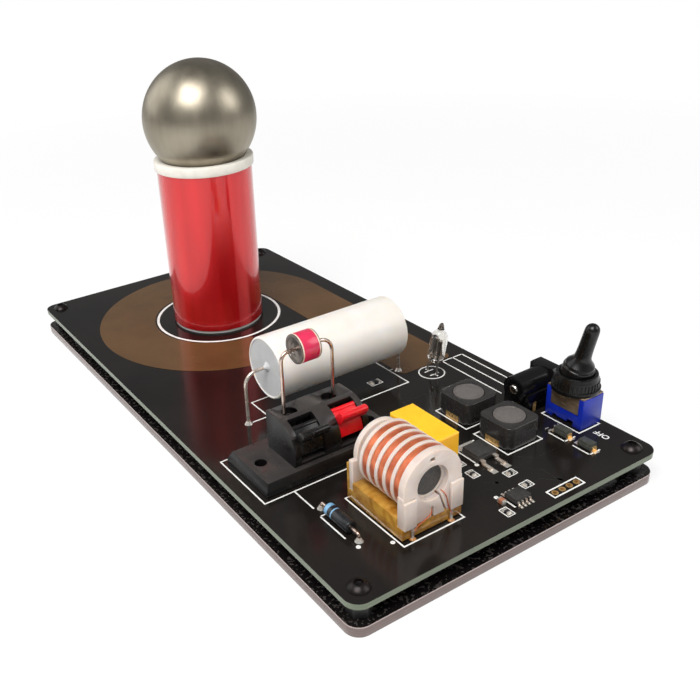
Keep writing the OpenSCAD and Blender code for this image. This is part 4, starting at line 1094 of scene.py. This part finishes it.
@dataclass
class ToggleSwitch:
    """Miniature toggle switch under a rubber boot."""

    centre: Pair = (175.2, 95.0)
    pivot_z: float = 14.3
    rest_lean: float = 13.5
    tip: float = 16.3
    bend: Pair = (-0.9, 1.6)

    def build(self) -> None:
        """Dresses the switch and moulds its flexible boot."""
        finish_nodes(
            ("switch_body", BLUE_MOULDING, 0.2),
            ("switch_bracket", DULL_NICKEL, 0.1),
            ("switch_bushing", SPRING_STEEL),
            ("switch_pins", TINNED),
            ("boot_skirt", RUBBER, 0.12),
            ("toggle_lever", SPRING_STEEL),
        )
        self.mould_boot()

    def mould_boot(self) -> None:
        """Moulds the boot as one straight turned piece, leaning between the switch and its lever."""
        wall = [
            (4.5, -0.9), (4.42, 0.2), (4.4, 0.9), (4.36, 1.9), (4.3, 2.15), (4.02, 2.35), (3.95, 2.55),
            (3.95, 3.0), (3.85, 3.15), (3.4, 3.65), (2.8, 4.45), (2.4, 5.1), (2.22, 5.8), (2.12, 7.5),
            (2.06, 10.0), (2.02, 13.0), (2.0, self.tip - 1.9), (1.85, self.tip - 1.15),
            (1.3, self.tip - 0.4), (0.6, self.tip - 0.06), (0.0, self.tip),
        ]  # fmt: skip
        place = stand(*self.centre, self.pivot_z, self.rest_lean, "Y")
        boot = Bench.turned("rubber_boot", wall, place, 64)
        Bench.modify(boot, "SUBSURF", levels=1, render_levels=1)
        Bench.smooth(boot, 60.0)
        dress(boot, RUBBER)
        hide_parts("boot_sleeve")
        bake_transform(boot)
        log.info("moulded %s", boot.name)


def land_pairs(centres: Sequence[Pair], reach: Pair, size: Pair) -> list[Quad]:
    """Gives the two lands of each part, at a reach to both sides of its centre."""
    return [(x + side * reach[0], y + side * reach[1], *size) for x, y in centres for side in (-1, 1)]


@dataclass
class SmallParts:
    """Surface parts and the high-voltage diode. A land is a centre with its length and width."""

    lands: tuple[Quad, ...] = (
        (168.2, 61.1, 2.0, 6.2),
        (181.0, 58.8, 2.4, 1.7),
        (181.0, 63.4, 2.4, 1.7),
        (125.7, 62.3, 2.0, 1.1),
        (125.7, 64.9, 2.0, 1.1),
        *land_pairs(((178.9, 53.7), (173.3, 54.2), (195.2, 49.4)), (0.85, 0.0), (0.9, 1.6)),
        *land_pairs(((184.2, 61.6), (190.1, 61.3)), (0.0, 0.85), (1.6, 0.9)),
        *land_pairs(((179.9, 85.8), (187.9, 86.0)), (2.75, 0.0), (1.5, 1.9)),
        *(
            (192.8 + side * 2.9, 55.4 + row * 1.27, 1.4, 0.6)
            for side in (-1, 1)
            for row in (-1.5, -0.5, 0.5, 1.5)
        ),
    )
    land_t: float = 0.05

    def build(self) -> None:
        """Dresses the small parts and lays the tinned lands under them."""
        finish_nodes(
            ("transistor_body", EPOXY, 0.12),
            ("transistor_legs", TINNED, 0.06),
            ("driver_chip", EPOXY, 0.08),
            ("surface_diodes", GLASS_DIODE, 0.1),
            ("high_voltage_diode", HV_DIODE, 0.35),
            ("chip_resistors", CHIP_GLAZE, 0.04),
            ("chip_ends", SOLDER, 0.06),
            ("tan_capacitor", TAN_CERAMIC, 0.06),
            ("driver_chip_legs", TINNED),
            ("surface_diode_ends", GOLD_TONE),
            ("high_voltage_diode_leads", COPPERY_LEAD),
        )
        self.lay_lands()

    def lay_lands(self) -> None:
        """Lays the tinned lands, a little wider than what is soldered to them."""
        piece = Bench.start("tinned_lands")
        for x, y, length, width in self.lands:
            Bench.slab((x - length / 2, y - width / 2, 0.0), (x + length / 2, y + width / 2, self.land_t))
        Bench.clear()
        fit(piece, SOLDER)


# ---- Studio ----


@dataclass
class Studio:
    """Camera of the photograph, pale floor and soft light."""

    eye: Triple = (0.21273, -0.13126, 0.14329)
    azimuth: float = 59.95
    elevation: float = 27.08
    roll: float = -4.02
    focal_px: float = 870.38
    picture_px: float = 700.0
    centre_px: Pair = (270.0, 350.0)
    lamps: tuple[tuple[str, Triple, Triple, float, float], ...] = (
        ("key", (0.25, -0.35, 0.75), (0.0, 0.0, 0.02), 0.5, 8.0),
        ("fill", (-0.7, -0.5, 0.5), (0.0, 0.0, 0.03), 0.8, 3.0),
        ("rear", (0.6, 0.7, 0.6), (0.0, 0.0, 0.03), 0.6, 3.5),
    )
    floor_size: float = 6.0
    floor_z: float = -0.00005
    glow_from: Pair = (0.16, 0.72)
    glow_full: float = 0.5
    ambient: float = 0.24
    def build(self) -> None:
        """Sets up the camera, the floor, the world and the lamps."""
        self.place_camera()
        self.lay_floor()
        self.light_world()
        for name, place, aim, size, power in self.lamps:
            self.hang_lamp(name, Vector(place), Vector(aim), size, power)
        bpy.context.scene.view_settings.view_transform = "Standard"

    def place_camera(self) -> None:
        """Puts the camera where the photograph was taken from."""
        a, e, r = (math.radians(v) for v in (self.azimuth, self.elevation, self.roll))
        back = Vector((math.sin(a) * math.cos(e), -math.cos(a) * math.cos(e), math.sin(e)))
        level = (-back).cross(Vector((0.0, 0.0, 1.0))).normalized()
        upright = level.cross(-back).normalized()
        right = math.cos(r) * level + math.sin(r) * upright
        up = -math.sin(r) * level + math.cos(r) * upright
        data = bpy.data.cameras.new("camera")
        data.sensor_width = 36.0
        data.lens = self.focal_px / self.picture_px * data.sensor_width
        data.shift_x = (self.picture_px / 2 - self.centre_px[0]) / self.picture_px
        data.shift_y = (self.centre_px[1] - self.picture_px / 2) / self.picture_px
        data.clip_start = 0.01
        camera = bpy.data.objects.new("camera", data)
        bpy.context.scene.collection.objects.link(camera)
        turn = Matrix((right, up, back)).transposed()
        camera.matrix_world = Matrix.Translation(Vector(self.eye)) @ turn.to_4x4()
        bpy.context.scene.camera = camera

    def lay_floor(self) -> None:
        """Lays a wide floor that glows towards the camera, fully beyond the object's shadow."""
        Bench.clear()
        bpy.ops.mesh.primitive_plane_add(size=self.floor_size, location=(0.0, 0.0, self.floor_z))
        floor = bpy.context.object
        floor.name = "floor"
        paper = bpy.data.materials.new("floor_paper")
        graph = Graph(paper)
        colour = graph.mix(graph.noise(60.0) * 0.3, (240, 240, 239), (234, 234, 233))
        dull = {"Base Color": colour, "Roughness": 0.9, "Specular IOR Level": 0.1}
        sheet = graph.add("ShaderNodeBsdfPrincipled", inputs=dull)
        glow = graph.add("ShaderNodeEmission", inputs={"Color": WHITE, "Strength": 1.0})
        reach = graph.vector("LENGTH", graph.place(), output="Value")
        near, share = self.glow_from
        rise = {"Value": reach, "From Min": near, "From Max": self.glow_full, "To Min": share}
        seen = graph.ray("Is Camera Ray") * graph.add("ShaderNodeMapRange", inputs=rise)
        blend = graph.add("ShaderNodeMixShader", inputs={0: seen, 1: sheet, 2: glow})
        graph.add("ShaderNodeOutputMaterial", inputs={"Surface": blend})
        floor.data.materials.append(paper)

    def light_world(self) -> None:
        """Lights the world evenly, and shows it white to the camera, also through glass."""
        world = bpy.data.worlds.new("studio")
        bpy.context.scene.world = world
        graph = Graph(world)
        rays = {0: graph.ray("Is Camera Ray"), 1: graph.ray("Is Transmission Ray")}
        seen = graph.add("ShaderNodeMath", {"operation": "MAXIMUM"}, rays)
        level = graph.add("ShaderNodeMapRange", inputs={"Value": seen, "To Min": self.ambient})
        background = graph.add("ShaderNodeBackground", inputs={"Color": WHITE, "Strength": level})
        graph.add("ShaderNodeOutputWorld", inputs={"Surface": background})

    @staticmethod
    def hang_lamp(name: str, place: Vector, aim: Vector, size: float, power: float) -> None:
        """Hangs a square soft lamp that faces a point.

        Args:
            name: The lamp's name.
            place: Where it hangs, in metres.
            aim: The point that it faces.
            size: Its side in metres.
            power: Its power in watts.
        """
        data = bpy.data.lights.new(name, "AREA")
        data.shape = "SQUARE"
        data.size = size
        data.energy = power
        lamp = bpy.data.objects.new(name, data)
        bpy.context.scene.collection.objects.link(lamp)
        lamp.location = place
        lamp.rotation_mode = "QUATERNION"
        lamp.rotation_quaternion = (aim - place).to_track_quat("-Z", "Y")


def main() -> None:
    """Builds the studio and every sub-assembly in order."""
    logging.basicConfig(level=logging.INFO, format="%(message)s")
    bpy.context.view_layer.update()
    Studio().build()
    for assembly in (
        BaseAndBoard(),
        CoilTower(),
        TankCapacitor(),
        SpringTerminal(),
        SparkGap(),
        IgnitionTransformer(),
        Supply(),
        ToggleSwitch(),
        SmallParts(),
    ):
        assembly.build()
        log.info("finished %s", type(assembly).__name__)
    Bench.clear()
    undressed = [
        name
        for name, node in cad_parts.items()
        if not node.hide_render
        and not all(m is not None and m.name.startswith(PREFIX) for m in node.data.materials)
    ]
    if undressed:
        raise RuntimeError(f"these nodes still wear the packed part's flat material: {undressed}")


if __name__ == "__main__":
    main()
